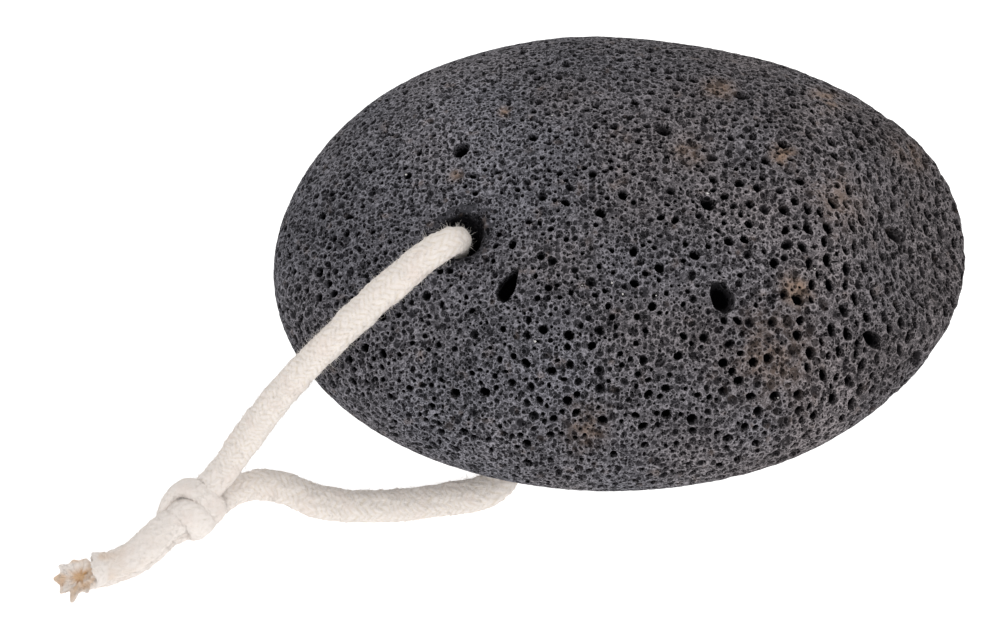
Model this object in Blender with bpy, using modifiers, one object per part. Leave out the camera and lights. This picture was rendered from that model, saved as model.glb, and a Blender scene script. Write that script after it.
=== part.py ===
"""A lava pumice foot stone on a knotted loop of cotton cord.

The stone is one solid: a lopsided pebble with a worn flat to rest on, a drilled hole near its left
end, and its largest gas bubbles as open pits. The cord goes down through the hole, comes out under
the front edge, and both ends meet in one knot beside the stone.

Frame: +X along the stone, +Z up, -Y towards the front; the origin is on the table, under the middle
of the stone's box. Dimensions are in millimetres and are turned into metres when a mesh is made.
"""

import math

import bmesh
import bpy
import numpy as np
from mathutils import Matrix, Vector

MM = 0.001

# ---- the stone's broad shape ----
HALF_LENGTH, HALF_WIDTH, HALF_HEIGHT = 51.5, 35.4, 20.0
TILT = 2.5  # degrees by which the left end is raised, because it sits on the flat of its belly
FLAT_DEPTH = 0.45  # how much of the belly is worn away by the resting flat
# Broad lumps and hollows: azimuth and elevation of the middle, angular width, height.
LUMPS = [
    (14.9, 5.9, 22.0, 1.2),  # full shoulder at the back right
    (-22.4, -8.8, 26.0, -1.4),  # right end falls away to the front
    (-68.6, -20.6, 26.0, -0.6),  # slightly flat front
    (-149.9, -11.5, 26.0, 0.6),  # long front left cheek
    (168.9, 4.5, 26.0, -3.2),  # blunt left end
    (127.1, 17.9, 26.0, -1.3),  # flattened back left
    (73.9, 21.2, 26.0, -1.3),  # flattened back
    (0.0, 26.0, 18.0, 1.2),  # ridge where the end facet begins
    (-162.0, -33.0, 26.0, -1.6),  # hollow under the left end, where the cord runs
]
FACET_NORMAL = (0.63, -0.02, 0.777)  # the broad facet on the upper right end
FACET_DISTANCE = 33.3
FACET_SOFTNESS = 0.5
SKIN_SUBDIVISIONS = 5

# ---- the drilled hole ----
HOLE_TOP = Vector((-23.0, -4.0, 38.2))
HOLE_BOTTOM = Vector((-27.0, -9.0, 5.1))
HOLE_RADIUS = 3.1
MOUTH_ROUNDING = 1.9
TOP_MOUTH_NORMAL = Vector((-0.17, -0.07, 0.98))
BOTTOM_MOUTH_NORMAL = Vector((-0.24, -0.12, -0.96))

# ---- the largest open bubbles: azimuth, elevation, half length, half width, depth, turn ----
PITS = [
    (-143.1, 41.8, 2.7, 1.15, 2.6, 85.0),  # long slot right of the hole
    (-43.7, 42.9, 2.4, 1.7, 2.4, 80.0),  # large oval, front right of the middle
    (157.9, 34.1, 1.45, 1.2, 1.8, 20.0),
    (-0.4, 15.1, 2.1, 1.2, 1.8, 90.0),
    (47.7, 29.7, 1.2, 1.0, 1.3, 0.0),
    (1.2, 58.6, 1.2, 1.05, 1.3, 40.0),
    (63.1, 54.2, 1.3, 1.1, 1.3, 10.0),
    (-24.6, 15.1, 1.9, 1.1, 1.7, 110.0),
    (-20.9, 4.8, 1.7, 1.1, 1.6, 90.0),
    (-8.0, -12.0, 2.2, 1.5, 2.0, 60.0),
    (28.0, 4.0, 1.8, 1.2, 1.7, 80.0),
    (62.0, -8.0, 2.3, 1.5, 2.2, 15.0),
    (112.0, 2.0, 1.6, 1.3, 1.6, 50.0),
    (138.0, -22.0, 1.9, 1.2, 1.8, 70.0),
    (20.0, -42.0, 2.4, 1.6, 2.2, 30.0),
    (-60.0, -40.0, 1.7, 1.3, 1.7, 120.0),
]

# ---- the cord ----
CORD_RADIUS = 2.05
TAIL_RADIUS = 1.95
POINT_SPACING = 2.6
# From the middle of the hole up over its rim, down across the stone and through the air to the knot.
UPPER_ROUTE = [
    (-24.9, -6.2, 20.5),
    (-24.2, -5.5, 27.0),
    (-23.3, -4.9, 32.6),
    (-23.3, -5.0, 37.0),
    (-24.7, -6.1, 40.0),
    (-27.6, -8.2, 40.4),
    (-31.2, -10.7, 38.6),
    (-35.5, -13.6, 35.7),
    (-39.2, -16.2, 33.2),
    (-42.5, -18.3, 30.1),
    (-45.6, -20.0, 26.3),
    (-48.4, -21.4, 22.0),
    (-51.0, -22.8, 17.6),
    (-53.5, -24.4, 13.3),
    (-55.9, -26.4, 9.8),
    (-57.6, -28.0, 7.7),
    (-58.8, -29.2, 7.0),
]
# From the middle of the hole down, forward under the stone, round to the left and along the table.
LOWER_ROUTE = [
    (-25.0, -6.3, 19.5),
    (-25.9, -7.2, 13.5),
    (-26.8, -8.0, 8.6),
    (-26.6, -8.9, 5.0),
    (-25.2, -10.9, 2.7),
    (-23.0, -14.2, 2.2),
    (-20.2, -18.2, 2.2),
    (-17.9, -21.6, 2.2),
    (-16.8, -25.0, 2.2),
    (-18.0, -28.4, 2.2),
    (-21.4, -30.2, 2.2),
    (-25.6, -30.9, 2.2),
    (-30.5, -31.6, 2.2),
    (-35.9, -31.9, 2.2),
    (-40.5, -31.8, 2.2),
    (-44.5, -31.2, 2.3),
    (-48.2, -29.8, 2.8),
    (-51.6, -29.0, 3.3),
    (-55.0, -29.3, 2.9),
    (-57.6, -30.3, 2.5),
]
KNOT_MIDDLE = Vector((-62.9, -32.9, 4.75))
KNOT_AXIS = Vector((-0.75, -0.66, 0.0)).normalized()
KNOT_HALF_LENGTH = 4.3
KNOT_RADIUS = 4.6
KNOT_WRAPS = 2  # turns of cord that show as ridges round the knot
WRAP_RELIEF = 0.45
# The two free ends lie one on the other; the upper one is shorter.
UPPER_TAIL = [
    (-66.5, -36.7, 6.6),
    (-68.6, -39.0, 6.3),
    (-71.0, -41.0, 6.2),
    (-74.2, -41.9, 6.5),
]
LOWER_TAIL = [
    (-66.9, -36.1, 2.4),
    (-68.7, -38.2, 2.2),
    (-71.4, -40.1, 2.2),
    (-74.8, -41.0, 2.3),
    (-77.3, -41.5, 2.6),
    (-79.3, -42.0, 3.1),
]
UPPER_TAIL_RADII = [1.0, 1.0, 1.0, 1.12]
LOWER_TAIL_RADII = [1.0, 1.0, 1.0, 1.0, 1.25, 1.5]


def clear_scene():
    """Remove every object, so that the script can run again in an open file."""
    for thing in list(bpy.data.objects):
        bpy.data.objects.remove(thing, do_unlink=True)


def new_collection(name):
    """A collection of that name, linked into the scene."""
    collection = bpy.data.collections.new(name)
    bpy.context.scene.collection.children.link(collection)
    return collection


def move_to(thing, collection):
    """Put an object in one collection only."""
    for old in list(thing.users_collection):
        old.objects.unlink(thing)
    collection.objects.link(thing)


def make_material(name, colour, roughness):
    """A Principled material in a linear colour."""
    material = bpy.data.materials.new(name)
    material.use_nodes = True
    shader = material.node_tree.nodes["Principled BSDF"]
    shader.inputs["Base Color"].default_value = (*colour, 1.0)
    shader.inputs["Roughness"].default_value = roughness
    shader.inputs["Metallic"].default_value = 0.0
    return material


def unit(azimuth, elevation):
    """The direction at an azimuth from +X towards +Y and an elevation above the level, in degrees."""
    turn, rise = math.radians(azimuth), math.radians(elevation)
    return np.array([math.cos(rise) * math.cos(turn), math.cos(rise) * math.sin(turn), math.sin(rise)])


def skin_distance(directions):
    """How far the skin is from the stone's middle along each unit direction.

    The distance is an ellipsoid's, 1 / sqrt((x/a)^2 + (y/b)^2 + (z/c)^2). Each lump adds a bell curve of
    the angle from its own middle. The end facet, a plane, then cuts it by a soft minimum.
    """
    axes = np.array([HALF_LENGTH, HALF_WIDTH, HALF_HEIGHT])
    distance = 1.0 / np.sqrt(((directions / axes) ** 2).sum(axis=1))
    for azimuth, elevation, width, height in LUMPS:
        angle = np.degrees(np.arccos(np.clip(directions @ unit(azimuth, elevation), -1.0, 1.0)))
        distance = distance + height * np.exp(-((angle / width) ** 2))
    normal = np.array(FACET_NORMAL) / np.linalg.norm(FACET_NORMAL)
    towards = np.maximum(directions @ normal, 0.2)
    plane = FACET_DISTANCE / towards
    return -FACET_SOFTNESS * np.logaddexp(-distance / FACET_SOFTNESS, -plane / FACET_SOFTNESS)


def tilted(points):
    """The points turned about +Y by the tilt, which raises the left end."""
    turn = math.radians(TILT)
    x, y, z = points.T
    return np.stack(
        [x * math.cos(turn) + z * math.sin(turn), y, z * math.cos(turn) - x * math.sin(turn)], axis=1
    )


def make_stone(collection, material):
    """The pebble: a fine ball whose points are moved out to the skin, then stood on its worn flat.

    It returns the object and the place of the stone's middle in the part's frame.
    """
    bpy.ops.mesh.primitive_ico_sphere_add(subdivisions=SKIN_SUBDIVISIONS, radius=1.0)
    stone = bpy.context.object
    stone.name = stone.data.name = "stone"
    move_to(stone, collection)
    mesh = stone.data
    ball = np.empty(len(mesh.vertices) * 3)
    mesh.vertices.foreach_get("co", ball)
    ball = ball.reshape(-1, 3)
    ball /= np.linalg.norm(ball, axis=1, keepdims=True)
    skin = tilted(ball * skin_distance(ball)[:, None])
    floor = skin[:, 2].min() + FLAT_DEPTH
    skin[:, 2] = np.maximum(skin[:, 2], floor)
    middle = (skin.min(axis=0) + skin.max(axis=0)) / 2.0
    shift = np.array([middle[0], middle[1], floor])
    mesh.vertices.foreach_set("co", ((skin - shift) * MM).ravel())
    mesh.shade_smooth()
    mesh.materials.append(material)
    mesh.update()
    return stone, -shift


def upright_to(direction, turn=0.0):
    """The rotation that takes +Z to a direction, after a turn about +Z in degrees."""
    aim = Vector(direction).normalized().to_track_quat("Z", "Y").to_matrix().to_4x4()
    return aim @ Matrix.Rotation(math.radians(turn), 4, "Z")


def as_cutter(thing, collection):
    """Mark an object as a cutter: not rendered, and drawn as wire."""
    move_to(thing, collection)
    thing.hide_render = True
    thing.display_type = "WIRE"
    return thing


def turned(name, profile, steps):
    """An object turned about Z from (radius, height) points, which run from the top down."""
    mesh = bpy.data.meshes.new(name)
    points = [(radius * MM, 0.0, height * MM) for radius, height in profile]
    mesh.from_pydata(points, [(i, i + 1) for i in range(len(points) - 1)], [])
    thing = bpy.data.objects.new(name, mesh)
    bpy.context.scene.collection.objects.link(thing)
    screw = thing.modifiers.new("turn", "SCREW")
    screw.axis = "Z"
    screw.steps = screw.render_steps = steps
    screw.use_merge_vertices = True
    screw.merge_threshold = 0.00001
    screw.use_smooth_shade = True
    return thing


def cut(target, cutter):
    """Take the cutter's solid away from the target."""
    boolean = target.modifiers.new(cutter.name, "BOOLEAN")
    boolean.operation = "DIFFERENCE"
    boolean.solver = "EXACT"
    boolean.object = cutter


def drill(stone, cutters):
    """The hole right through, and the rounding of its two mouths."""
    axis = HOLE_TOP - HOLE_BOTTOM
    half = axis.length / 2.0 + 6.0
    profile = [(0.0, half), (HOLE_RADIUS, half), (HOLE_RADIUS, -half), (0.0, -half)]
    bit = turned("hole_cutter", profile, 32)
    bit.matrix_world = Matrix.Translation((HOLE_TOP + HOLE_BOTTOM) / 2.0 * MM) @ upright_to(axis)
    cut(stone, as_cutter(bit, cutters))
    mouths = [("top", HOLE_TOP, TOP_MOUTH_NORMAL), ("bottom", HOLE_BOTTOM, BOTTOM_MOUTH_NORMAL)]
    for name, place, normal in mouths:
        flare = [(0.0, 2.5), (HOLE_RADIUS + MOUTH_ROUNDING, 2.5)]
        for step in range(5):
            angle = math.radians(90.0 * step / 4)
            outwards = MOUTH_ROUNDING * (1.0 - math.sin(angle))
            flare.append((HOLE_RADIUS + outwards - 0.03, -MOUTH_ROUNDING * (1.0 - math.cos(angle))))
        flare.append((0.0, -MOUTH_ROUNDING))
        tool = turned(f"{name}_mouth_cutter", flare, 32)
        tool.matrix_world = Matrix.Translation(place * MM) @ upright_to(normal)
        cut(stone, as_cutter(tool, cutters))


def open_pits(stone, middle, cutters):
    """The largest bubbles, each cut by an oval ball whose middle lies just under the skin."""
    for number, (azimuth, elevation, length, width, depth, turn) in enumerate(PITS, 1):
        bpy.ops.mesh.primitive_uv_sphere_add(segments=14, ring_count=8, radius=MM)
        ball = as_cutter(bpy.context.object, cutters)
        ball.name = f"pit_cutter_{number:02d}"
        direction = unit(azimuth, elevation)[None, :]
        skin = tilted(direction * skin_distance(direction)[:, None])[0]
        outwards = Vector(tilted(direction / np.array([HALF_LENGTH, HALF_WIDTH, HALF_HEIGHT]) ** 2)[0])
        place = Vector(skin + middle) - outwards.normalized() * depth * 0.25
        size = Matrix.Diagonal((length, width, depth, 1.0))
        ball.matrix_world = Matrix.Translation(place * MM) @ upright_to(outwards, turn) @ size
        cut(stone, ball)


def smooth_line(points, spacing):
    """A smooth curve through the points (a Catmull-Rom spline), read at even steps."""
    knots = np.array(points, float)
    ends = np.vstack([2 * knots[0] - knots[1], knots, 2 * knots[-1] - knots[-2]])
    t = np.linspace(0.0, 1.0, 24, endpoint=False)[:, None]
    pieces = []
    for a, b, c, d in zip(ends, ends[1:], ends[2:], ends[3:]):
        even = 2 * b + (c - a) * t + (2 * a - 5 * b + 4 * c - d) * t**2
        pieces.append((even + (3 * b - a - 3 * c + d) * t**3) / 2)
    line = np.vstack([*pieces, knots[-1:]])
    along = np.concatenate([[0.0], np.cumsum(np.linalg.norm(np.diff(line, axis=0), axis=1))])
    at = np.linspace(0.0, along[-1], max(3, round(along[-1] / spacing) + 1))
    return np.stack([np.interp(at, along, line[:, k]) for k in range(3)], axis=1), at / at[-1]


def tube(name, route, radius, collection, material, radii=None):
    """A round tube along a route, with filled ends."""
    line, share = smooth_line(route, POINT_SPACING)
    curve = bpy.data.curves.new(name, "CURVE")
    curve.dimensions = "3D"
    curve.bevel_depth = radius * MM
    curve.bevel_resolution = 3
    curve.use_fill_caps = True
    spline = curve.splines.new("POLY")
    spline.points.add(len(line) - 1)
    spline.points.foreach_set("co", np.c_[line * MM, np.ones(len(line))].ravel())
    if radii is not None:
        spline.points.foreach_set("radius", np.interp(share, np.linspace(0.0, 1.0, len(radii)), radii))
    thing = bpy.data.objects.new(name, curve)
    collection.objects.link(thing)
    curve.materials.append(material)
    print(f"{name}: {np.linalg.norm(np.diff(line, axis=0), axis=1).sum():.1f} mm long, {len(line)} points")
    return thing


def make_knot(collection, material):
    """The knot: a turned barrel whose ridges are the turns of cord round the two strands."""
    profile = [(0.0, KNOT_HALF_LENGTH)]
    for step in range(25):
        share = step / 24
        height = KNOT_HALF_LENGTH * (1.0 - 2.0 * share)
        barrel = KNOT_RADIUS - WRAP_RELIEF - 0.9 * (2.0 * share - 1.0) ** 4
        ridge = WRAP_RELIEF * math.cos(2.0 * math.pi * KNOT_WRAPS * (share - 0.25))
        profile.append((barrel + ridge, height))
    profile.append((0.0, -KNOT_HALF_LENGTH))
    knot = turned("knot", profile, 28)
    knot.matrix_world = Matrix.Translation(KNOT_MIDDLE * MM) @ upright_to(KNOT_AXIS)
    move_to(knot, collection)
    knot.data.materials.append(material)
    return knot


def main():
    clear_scene()
    parts = new_collection("pumice_stone")
    cutters = new_collection("cutters")
    lava = make_material("vesicular_lava", (0.085, 0.082, 0.088), 0.95)
    cotton = make_material("cotton_braid", (0.82, 0.76, 0.66), 0.9)
    stone, middle = make_stone(parts, lava)
    drill(stone, cutters)
    open_pits(stone, middle, cutters)
    tube("cord_upper", UPPER_ROUTE, CORD_RADIUS, parts, cotton)
    tube("cord_lower", LOWER_ROUTE, CORD_RADIUS, parts, cotton)
    make_knot(parts, cotton)
    tube("tail_upper", UPPER_TAIL, TAIL_RADIUS, parts, cotton, UPPER_TAIL_RADII)
    tube("tail_lower", LOWER_TAIL, TAIL_RADIUS, parts, cotton, LOWER_TAIL_RADII)
    print("stone's middle in mm:", np.round(middle, 3))


main()
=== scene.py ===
# %% [markdown]
# # A pumice foot stone on a cotton cord
#
# The object is a dark lava pebble, full of gas bubbles, with a loop of braided cotton through it.
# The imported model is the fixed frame: it says where the stone, the cord, the knot and the two free
# ends are. This lesson makes the fine surfaces that stand for them. Shapes are worked out in
# millimetres with numpy, and are turned into metres when they are put into a mesh.

# %% Load the frame
import math

import bpy
import numpy as np
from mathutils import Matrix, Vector
from mathutils.geometry import delaunay_2d_cdt


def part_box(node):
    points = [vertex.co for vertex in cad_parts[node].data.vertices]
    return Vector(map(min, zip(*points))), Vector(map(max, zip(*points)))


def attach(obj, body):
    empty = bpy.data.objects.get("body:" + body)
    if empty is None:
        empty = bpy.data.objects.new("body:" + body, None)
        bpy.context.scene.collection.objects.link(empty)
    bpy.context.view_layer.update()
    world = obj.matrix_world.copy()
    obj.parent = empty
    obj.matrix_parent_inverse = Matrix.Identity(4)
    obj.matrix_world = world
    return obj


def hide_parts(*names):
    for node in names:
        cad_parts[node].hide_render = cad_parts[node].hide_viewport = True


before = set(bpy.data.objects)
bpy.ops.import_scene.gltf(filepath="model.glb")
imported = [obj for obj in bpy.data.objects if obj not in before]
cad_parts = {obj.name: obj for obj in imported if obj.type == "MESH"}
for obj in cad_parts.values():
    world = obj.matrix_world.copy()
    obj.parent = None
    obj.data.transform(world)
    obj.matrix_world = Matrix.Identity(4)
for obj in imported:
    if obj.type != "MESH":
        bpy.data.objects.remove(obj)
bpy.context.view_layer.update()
MM = 0.001
print("nodes:", sorted(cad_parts))

# %% [markdown]
# ## Small helpers
#
# Colours are written as sRGB hex values, as a paint program shows them, and Blender's shaders want
# linear light, so one function converts them. One function starts a material, and one adds a shader
# node with its settings and its inputs. One function puts arrays of points and faces into a mesh.

# %% Helpers


def linear(code):
    """An sRGB hex colour as linear RGBA: c/12.92 near black, ((c + 0.055) / 1.055)^2.4 above."""
    parts = np.array([int(code[i : i + 2], 16) for i in (1, 3, 5)]) / 255.0
    low, high = parts / 12.92, ((parts + 0.055) / 1.055) ** 2.4
    return (*np.where(parts <= 0.04045, low, high).tolist(), 1.0)


def new_material(name, sockets):
    """Start a material: it, its node tree and its Principled shader, with the all-over sockets set."""
    material = bpy.data.materials.new(name)
    material.use_nodes = True
    shader = material.node_tree.nodes["Principled BSDF"]
    for socket, value in sockets.items():
        shader.inputs[socket].default_value = value
    return material, material.node_tree, shader


def add(tree, kind, settings=None, inputs=None, out=0):
    """Add a node and give one of its outputs. Inputs go by name or number, and a socket is linked."""
    node = tree.nodes.new("ShaderNode" + kind)
    for key, value in (settings or {}).items():
        setattr(node, key, value)
    for key, value in (inputs or {}).items():
        if isinstance(value, bpy.types.NodeSocket):
            tree.links.new(value, node.inputs[key])
        else:
            node.inputs[key].default_value = value
    return node.outputs[out]


def make_piece(name, points, face_sets, material, sharp=None):
    """A mesh object at the origin, from points in mm and a list of face arrays.

    It is shaded smooth, but for edges where it turns by more than the sharp angle in degrees.
    """
    mesh = bpy.data.meshes.new(name)
    sizes = np.concatenate([np.full(len(f), f.shape[1]) for f in face_sets])
    corners = np.concatenate([f.ravel() for f in face_sets])
    mesh.vertices.add(len(points))
    mesh.vertices.foreach_set("co", (np.asarray(points) * MM).ravel())
    mesh.loops.add(len(corners))
    mesh.loops.foreach_set("vertex_index", corners.astype(np.int32))
    mesh.polygons.add(len(sizes))
    mesh.polygons.foreach_set("loop_start", (np.cumsum(sizes) - sizes).astype(np.int32))
    mesh.materials.append(material)
    mesh.update(calc_edges=True)
    mesh.validate()
    mesh.shade_smooth()
    if sharp is not None:
        mesh.set_sharp_from_angle(angle=math.radians(sharp))
    piece = bpy.data.objects.new(name, mesh)
    bpy.context.scene.collection.objects.link(piece)
    triangles = int((sizes - 2).sum())
    print(f"{name}: {len(points)} points, {triangles} triangles")
    return piece


def store(piece, name, values):
    """Keep one number per point on the mesh, for its material to read."""
    attribute = piece.data.attributes.new(name, "FLOAT", "POINT")
    attribute.data.foreach_set("value", np.asarray(values, np.float32))


# %% [markdown]
# ## Noise
#
# Nothing here is quite even: cotton is hand-soft and lava foamed as it cooled. Both take their
# unevenness from one smooth noise, which numpy works out for all points at once.

# %% Noise


def soft_noise(points, size, seed):
    """Noise from 0 to 1: random values on a cubic lattice of that size in mm, blended between corners."""
    table = np.random.default_rng(seed).random(4096)
    scaled = points / size
    cell = np.floor(scaled).astype(np.int64)
    part = scaled - cell
    part = part * part * (3.0 - 2.0 * part)
    total = np.zeros(len(points))
    for corner in np.ndindex(2, 2, 2):
        at = cell + np.array(corner)
        value = table[(at[:, 0] * 73856093 ^ at[:, 1] * 19349663 ^ at[:, 2] * 83492791) % 4096]
        total += value * np.prod(np.where(np.array(corner) == 1, part, 1.0 - part), axis=1)
    return total


print("noise at three places:", soft_noise(np.eye(3), 0.8, 1).round(2))

# %% [markdown]
# ## Camera
#
# The stone is looked at from high in front, about 68 degrees above the table, with a long lens, so
# that its outline hardly shows perspective. The camera's aim is a point left of the stone's middle,
# which leaves room for the knot at the lower left.

# %% Camera
VIEW_RISE = math.radians(68.0)
VIEW_DISTANCE = 450.0
VIEW_AIM = np.array([-17.64, -8.85, 20.0])

camera = bpy.data.objects.new("camera", bpy.data.cameras.new("camera"))
bpy.context.scene.collection.objects.link(camera)
backwards = np.array([0.0, -math.cos(VIEW_RISE), math.sin(VIEW_RISE)])
camera.location = Vector((VIEW_AIM + VIEW_DISTANCE * backwards) * MM)
camera.rotation_euler = (math.radians(90.0) - VIEW_RISE, 0.0, 0.0)
camera.data.lens = 112.5  # mm
camera.data.sensor_width = 36.0
bpy.context.scene.camera = camera
print("camera at", [round(v, 4) for v in camera.location])

# %% [markdown]
# ## Cotton braid: how it looks and how it is carried along a path
#
# The cord is a hollow braid of soft cotton yarns, about 4 mm across. Half of the yarns wind round it
# one way and half the other way, each over two and under two, which draws small V shapes down its
# length. A bump map would leave its outline smooth, so the yarns are real relief. The outline is a
# function of two parameters, the length along the path and the angle round it.

# %% Paths and frames


def smooth_line(points, spacing, softness=1.2):
    """An evenly stepped curve through given points, in mm.

    A Catmull-Rom spline goes through the points; the mean of its neighbours within the softness
    (in mm) then rounds off the small changes of bend at each point.
    """
    knots = np.array(points, float)
    ends = np.vstack([2 * knots[0] - knots[1], knots, 2 * knots[-1] - knots[-2]])
    a, b, c, d = (ends[k : len(ends) - 3 + k, None, :] for k in range(4))
    t = np.linspace(0.0, 1.0, 40, endpoint=False)[None, :, None]
    curve = 0.5 * (2 * b + (c - a) * t + (2 * a - 5 * b + 4 * c - d) * t**2)
    curve = (curve + 0.5 * (3 * b - a - 3 * c + d) * t**3).reshape(-1, 3)
    curve = even_steps(np.vstack([curve, knots[-1:]]), spacing)
    reach = max(1, round(softness / spacing))
    padded = np.vstack([2 * curve[0] - curve[reach:0:-1], curve, 2 * curve[-1] - curve[-2 : -reach - 2 : -1]])
    window = np.hanning(2 * reach + 3)[1:-1]
    window /= window.sum()
    return np.stack([np.convolve(padded[:, k], window, "valid") for k in range(3)], axis=1)


def even_steps(line, spacing):
    """The same line, read at even steps of its length."""
    along = np.concatenate([[0.0], np.cumsum(np.linalg.norm(np.diff(line, axis=0), axis=1))])
    at = np.linspace(0.0, along[-1], max(3, round(along[-1] / spacing) + 1))
    return np.stack([np.interp(at, along, line[:, k]) for k in range(3)], axis=1)


def lengths_along(line):
    """The distance in mm from the line's start to each of its points."""
    return np.concatenate([[0.0], np.cumsum(np.linalg.norm(np.diff(line, axis=0), axis=1))])


def normalised(vectors):
    """The vectors at length one."""
    return vectors / np.maximum(np.linalg.norm(vectors, axis=-1, keepdims=True), 1e-12)


def frames_along(line, sideways, level_at=0.6):
    """A side and an up vector at each point, which turn with the line but never twist about it.

    A fixed sideways vector, made square to the line, gives a first side. How fast that side rolls
    about the line is added up, and the roll is then turned back. At one share of the length the side
    is made level.
    """
    tangent = normalised(np.gradient(line, axis=0))
    side = np.asarray(sideways, float) - (tangent @ np.asarray(sideways, float))[:, None] * tangent
    side = normalised(side)
    up = np.cross(tangent, side)
    steps = (np.diff(side, axis=0) * (up[1:] + up[:-1]) / 2.0).sum(axis=1)
    roll = -np.concatenate([[0.0], np.cumsum(steps)])
    level = round(level_at * (len(line) - 1))
    lean = math.atan2(-side[level, 2], up[level, 2])
    roll = (roll - roll[level] + lean)[:, None]
    return np.cos(roll) * side + np.sin(roll) * up, np.cos(roll) * up - np.sin(roll) * side


print("paths are read at even steps, with a side and an up vector at each")

# %% [markdown]
# The relief of the braid is one formula of the length along the cord and the angle round it. It says
# how high the upper yarn stands at each place.

# %% Braid relief
BRAID_YARNS = 12  # yarns that wind each way
BRAID_PITCH = 11.5  # mm of cord for one turn of a yarn
YARN_RELIEF = 0.11  # mm from the bottom of a gap to the top of a yarn
MEAN_LIFT = 0.7  # the height of braid that counts as the cord's own surface
CORD_AROUND = 96  # points in a ring


def braid_height(along, angle):
    """Height of the braid, from 0 in the gaps to 1 on top of a yarn.

    A yarn of the first set keeps a = n (angle / 2 pi + along / pitch) between two whole numbers, and
    one of the second set keeps b = n (angle / 2 pi - along / pitch). Across itself a yarn is a half
    round. Along itself it rises and dives with a period of four crossings, two over and two under.
    The upper set wins wherever they cross.
    """
    a = BRAID_YARNS * (angle / (2.0 * math.pi) + along / BRAID_PITCH)
    b = BRAID_YARNS * (angle / (2.0 * math.pi) - along / BRAID_PITCH)

    def yarn(across, down, shift):
        number = np.floor(across)
        half_round = np.sqrt(np.maximum(1.0 - (2.0 * (across - number) - 1.0) ** 2, 0.0))
        rise = 0.5 + 0.5 * np.cos(math.pi / 2.0 * (down + number - shift))
        return half_round * (0.3 + 0.7 * rise)

    return np.maximum(yarn(a, b, 1.0), yarn(b, a, 3.0))


def braided_tube(line, width, height, sideways):
    """Points of a braided tube on a grid of (along the line, round it), and the braid's height there.

    The outline at each place is an oval, width by height in mm, with the braid standing on it.
    """
    along = lengths_along(line)
    side, up = frames_along(line, sideways)
    angle = np.linspace(0.0, 2.0 * math.pi, CORD_AROUND, endpoint=False)
    # Hand-soft braid is never even: its stitches wander a little along and round the cord.
    wander = 0.30 * np.sin(0.7 * along)[:, None] + 0.16 * np.sin(1.9 * along[:, None] + 3.0 * angle)
    twist = 0.08 * np.sin(1.3 * along[:, None] + 2.0 * angle) + 0.10 * np.sin(0.31 * along)[:, None]
    lift = braid_height(along[:, None] + wander, angle[None, :] + twist)
    relief = YARN_RELIEF * (lift - MEAN_LIFT)
    across = (width[:, None] / 2.0 + relief) * np.cos(angle)
    above = (height[:, None] / 2.0 + relief) * np.sin(angle)
    points = line[:, None, :] + across[..., None] * side[:, None, :] + above[..., None] * up[:, None, :]
    return points, lift


def tube_faces(rows, columns):
    """Four-sided faces of a grid that closes on itself round the tube, facing outwards."""
    row, column = np.meshgrid(np.arange(rows - 1), np.arange(columns), indexing="ij")
    beside = (column + 1) % columns
    first, second = row * columns, (row + 1) * columns
    faces = np.stack([first + column, first + beside, second + beside, second + column], axis=-1)
    return faces.reshape(-1, 4)


def closed_tube(grid):
    """Points and faces of a tube with a point added at each end to close it."""
    rows, columns = grid.shape[:2]
    points = np.vstack([grid.reshape(-1, 3), grid[0].mean(axis=0), grid[-1].mean(axis=0)])
    ring = np.arange(columns)
    beside = (ring + 1) % columns
    first = np.stack([beside, ring, np.full(columns, rows * columns)], axis=-1)
    last = (rows - 1) * columns + np.stack([ring, beside, np.full(columns, columns + 1)], axis=-1)
    return points, [tube_faces(rows, columns), np.vstack([first, last])]


print(f"a yarn crosses the next one every {BRAID_PITCH / (2 * BRAID_YARNS):.2f} mm of cord")

# %% [markdown]
# ## The two cords and their real length
#
# One cord, about 240 mm long with what is inside the knot, goes down through the stone. It is
# made as two strands, because it shows as two: one from the top mouth of the hole, over the rim and
# down through the air to the knot, and one from the bottom mouth, forward under the stone and along
# the table. Both start in the middle of the hole. The routes are the imported model's, but for the
# upper one's bend in the mouth of the hole, which leans a little more to the back.

# %% Routes
HOLE_TOP = np.array([-23.0, -4.0, 38.2])
HOLE_BOTTOM = np.array([-27.0, -9.0, 5.1])
UPPER_ROUTE = [
    (-24.9, -6.2, 20.5), (-24.5, -4.9, 27.0), (-24.0, -4.2, 32.6), (-23.4, -4.7, 37.0), (-24.7, -6.1, 40.0),
    (-27.6, -8.2, 40.4), (-31.2, -10.7, 38.6), (-35.5, -13.6, 35.7), (-39.2, -16.2, 33.2), (-42.5, -18.3, 30.1),
    (-45.6, -20.0, 26.3), (-48.4, -21.4, 22.0), (-51.0, -22.8, 17.6), (-53.5, -24.4, 13.3), (-55.9, -26.4, 9.8),
    (-57.6, -28.0, 7.7), (-58.8, -29.2, 7.0),
]
LOWER_ROUTE = [
    (-25.0, -6.3, 19.5), (-25.9, -7.2, 13.5), (-26.8, -8.0, 8.6), (-26.6, -8.9, 5.0), (-25.2, -10.9, 2.7),
    (-23.0, -14.2, 2.2), (-20.2, -18.2, 2.2), (-17.9, -21.6, 2.2), (-16.8, -25.0, 2.2), (-18.0, -28.4, 2.2),
    (-21.4, -30.2, 2.2), (-25.6, -30.9, 2.2), (-30.5, -31.6, 2.2), (-35.9, -31.9, 2.2), (-40.5, -31.8, 2.2),
    (-44.5, -31.2, 2.3), (-48.2, -29.8, 2.8), (-51.6, -29.0, 3.3), (-55.0, -29.3, 2.9), (-57.6, -30.3, 2.5),
]
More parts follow.
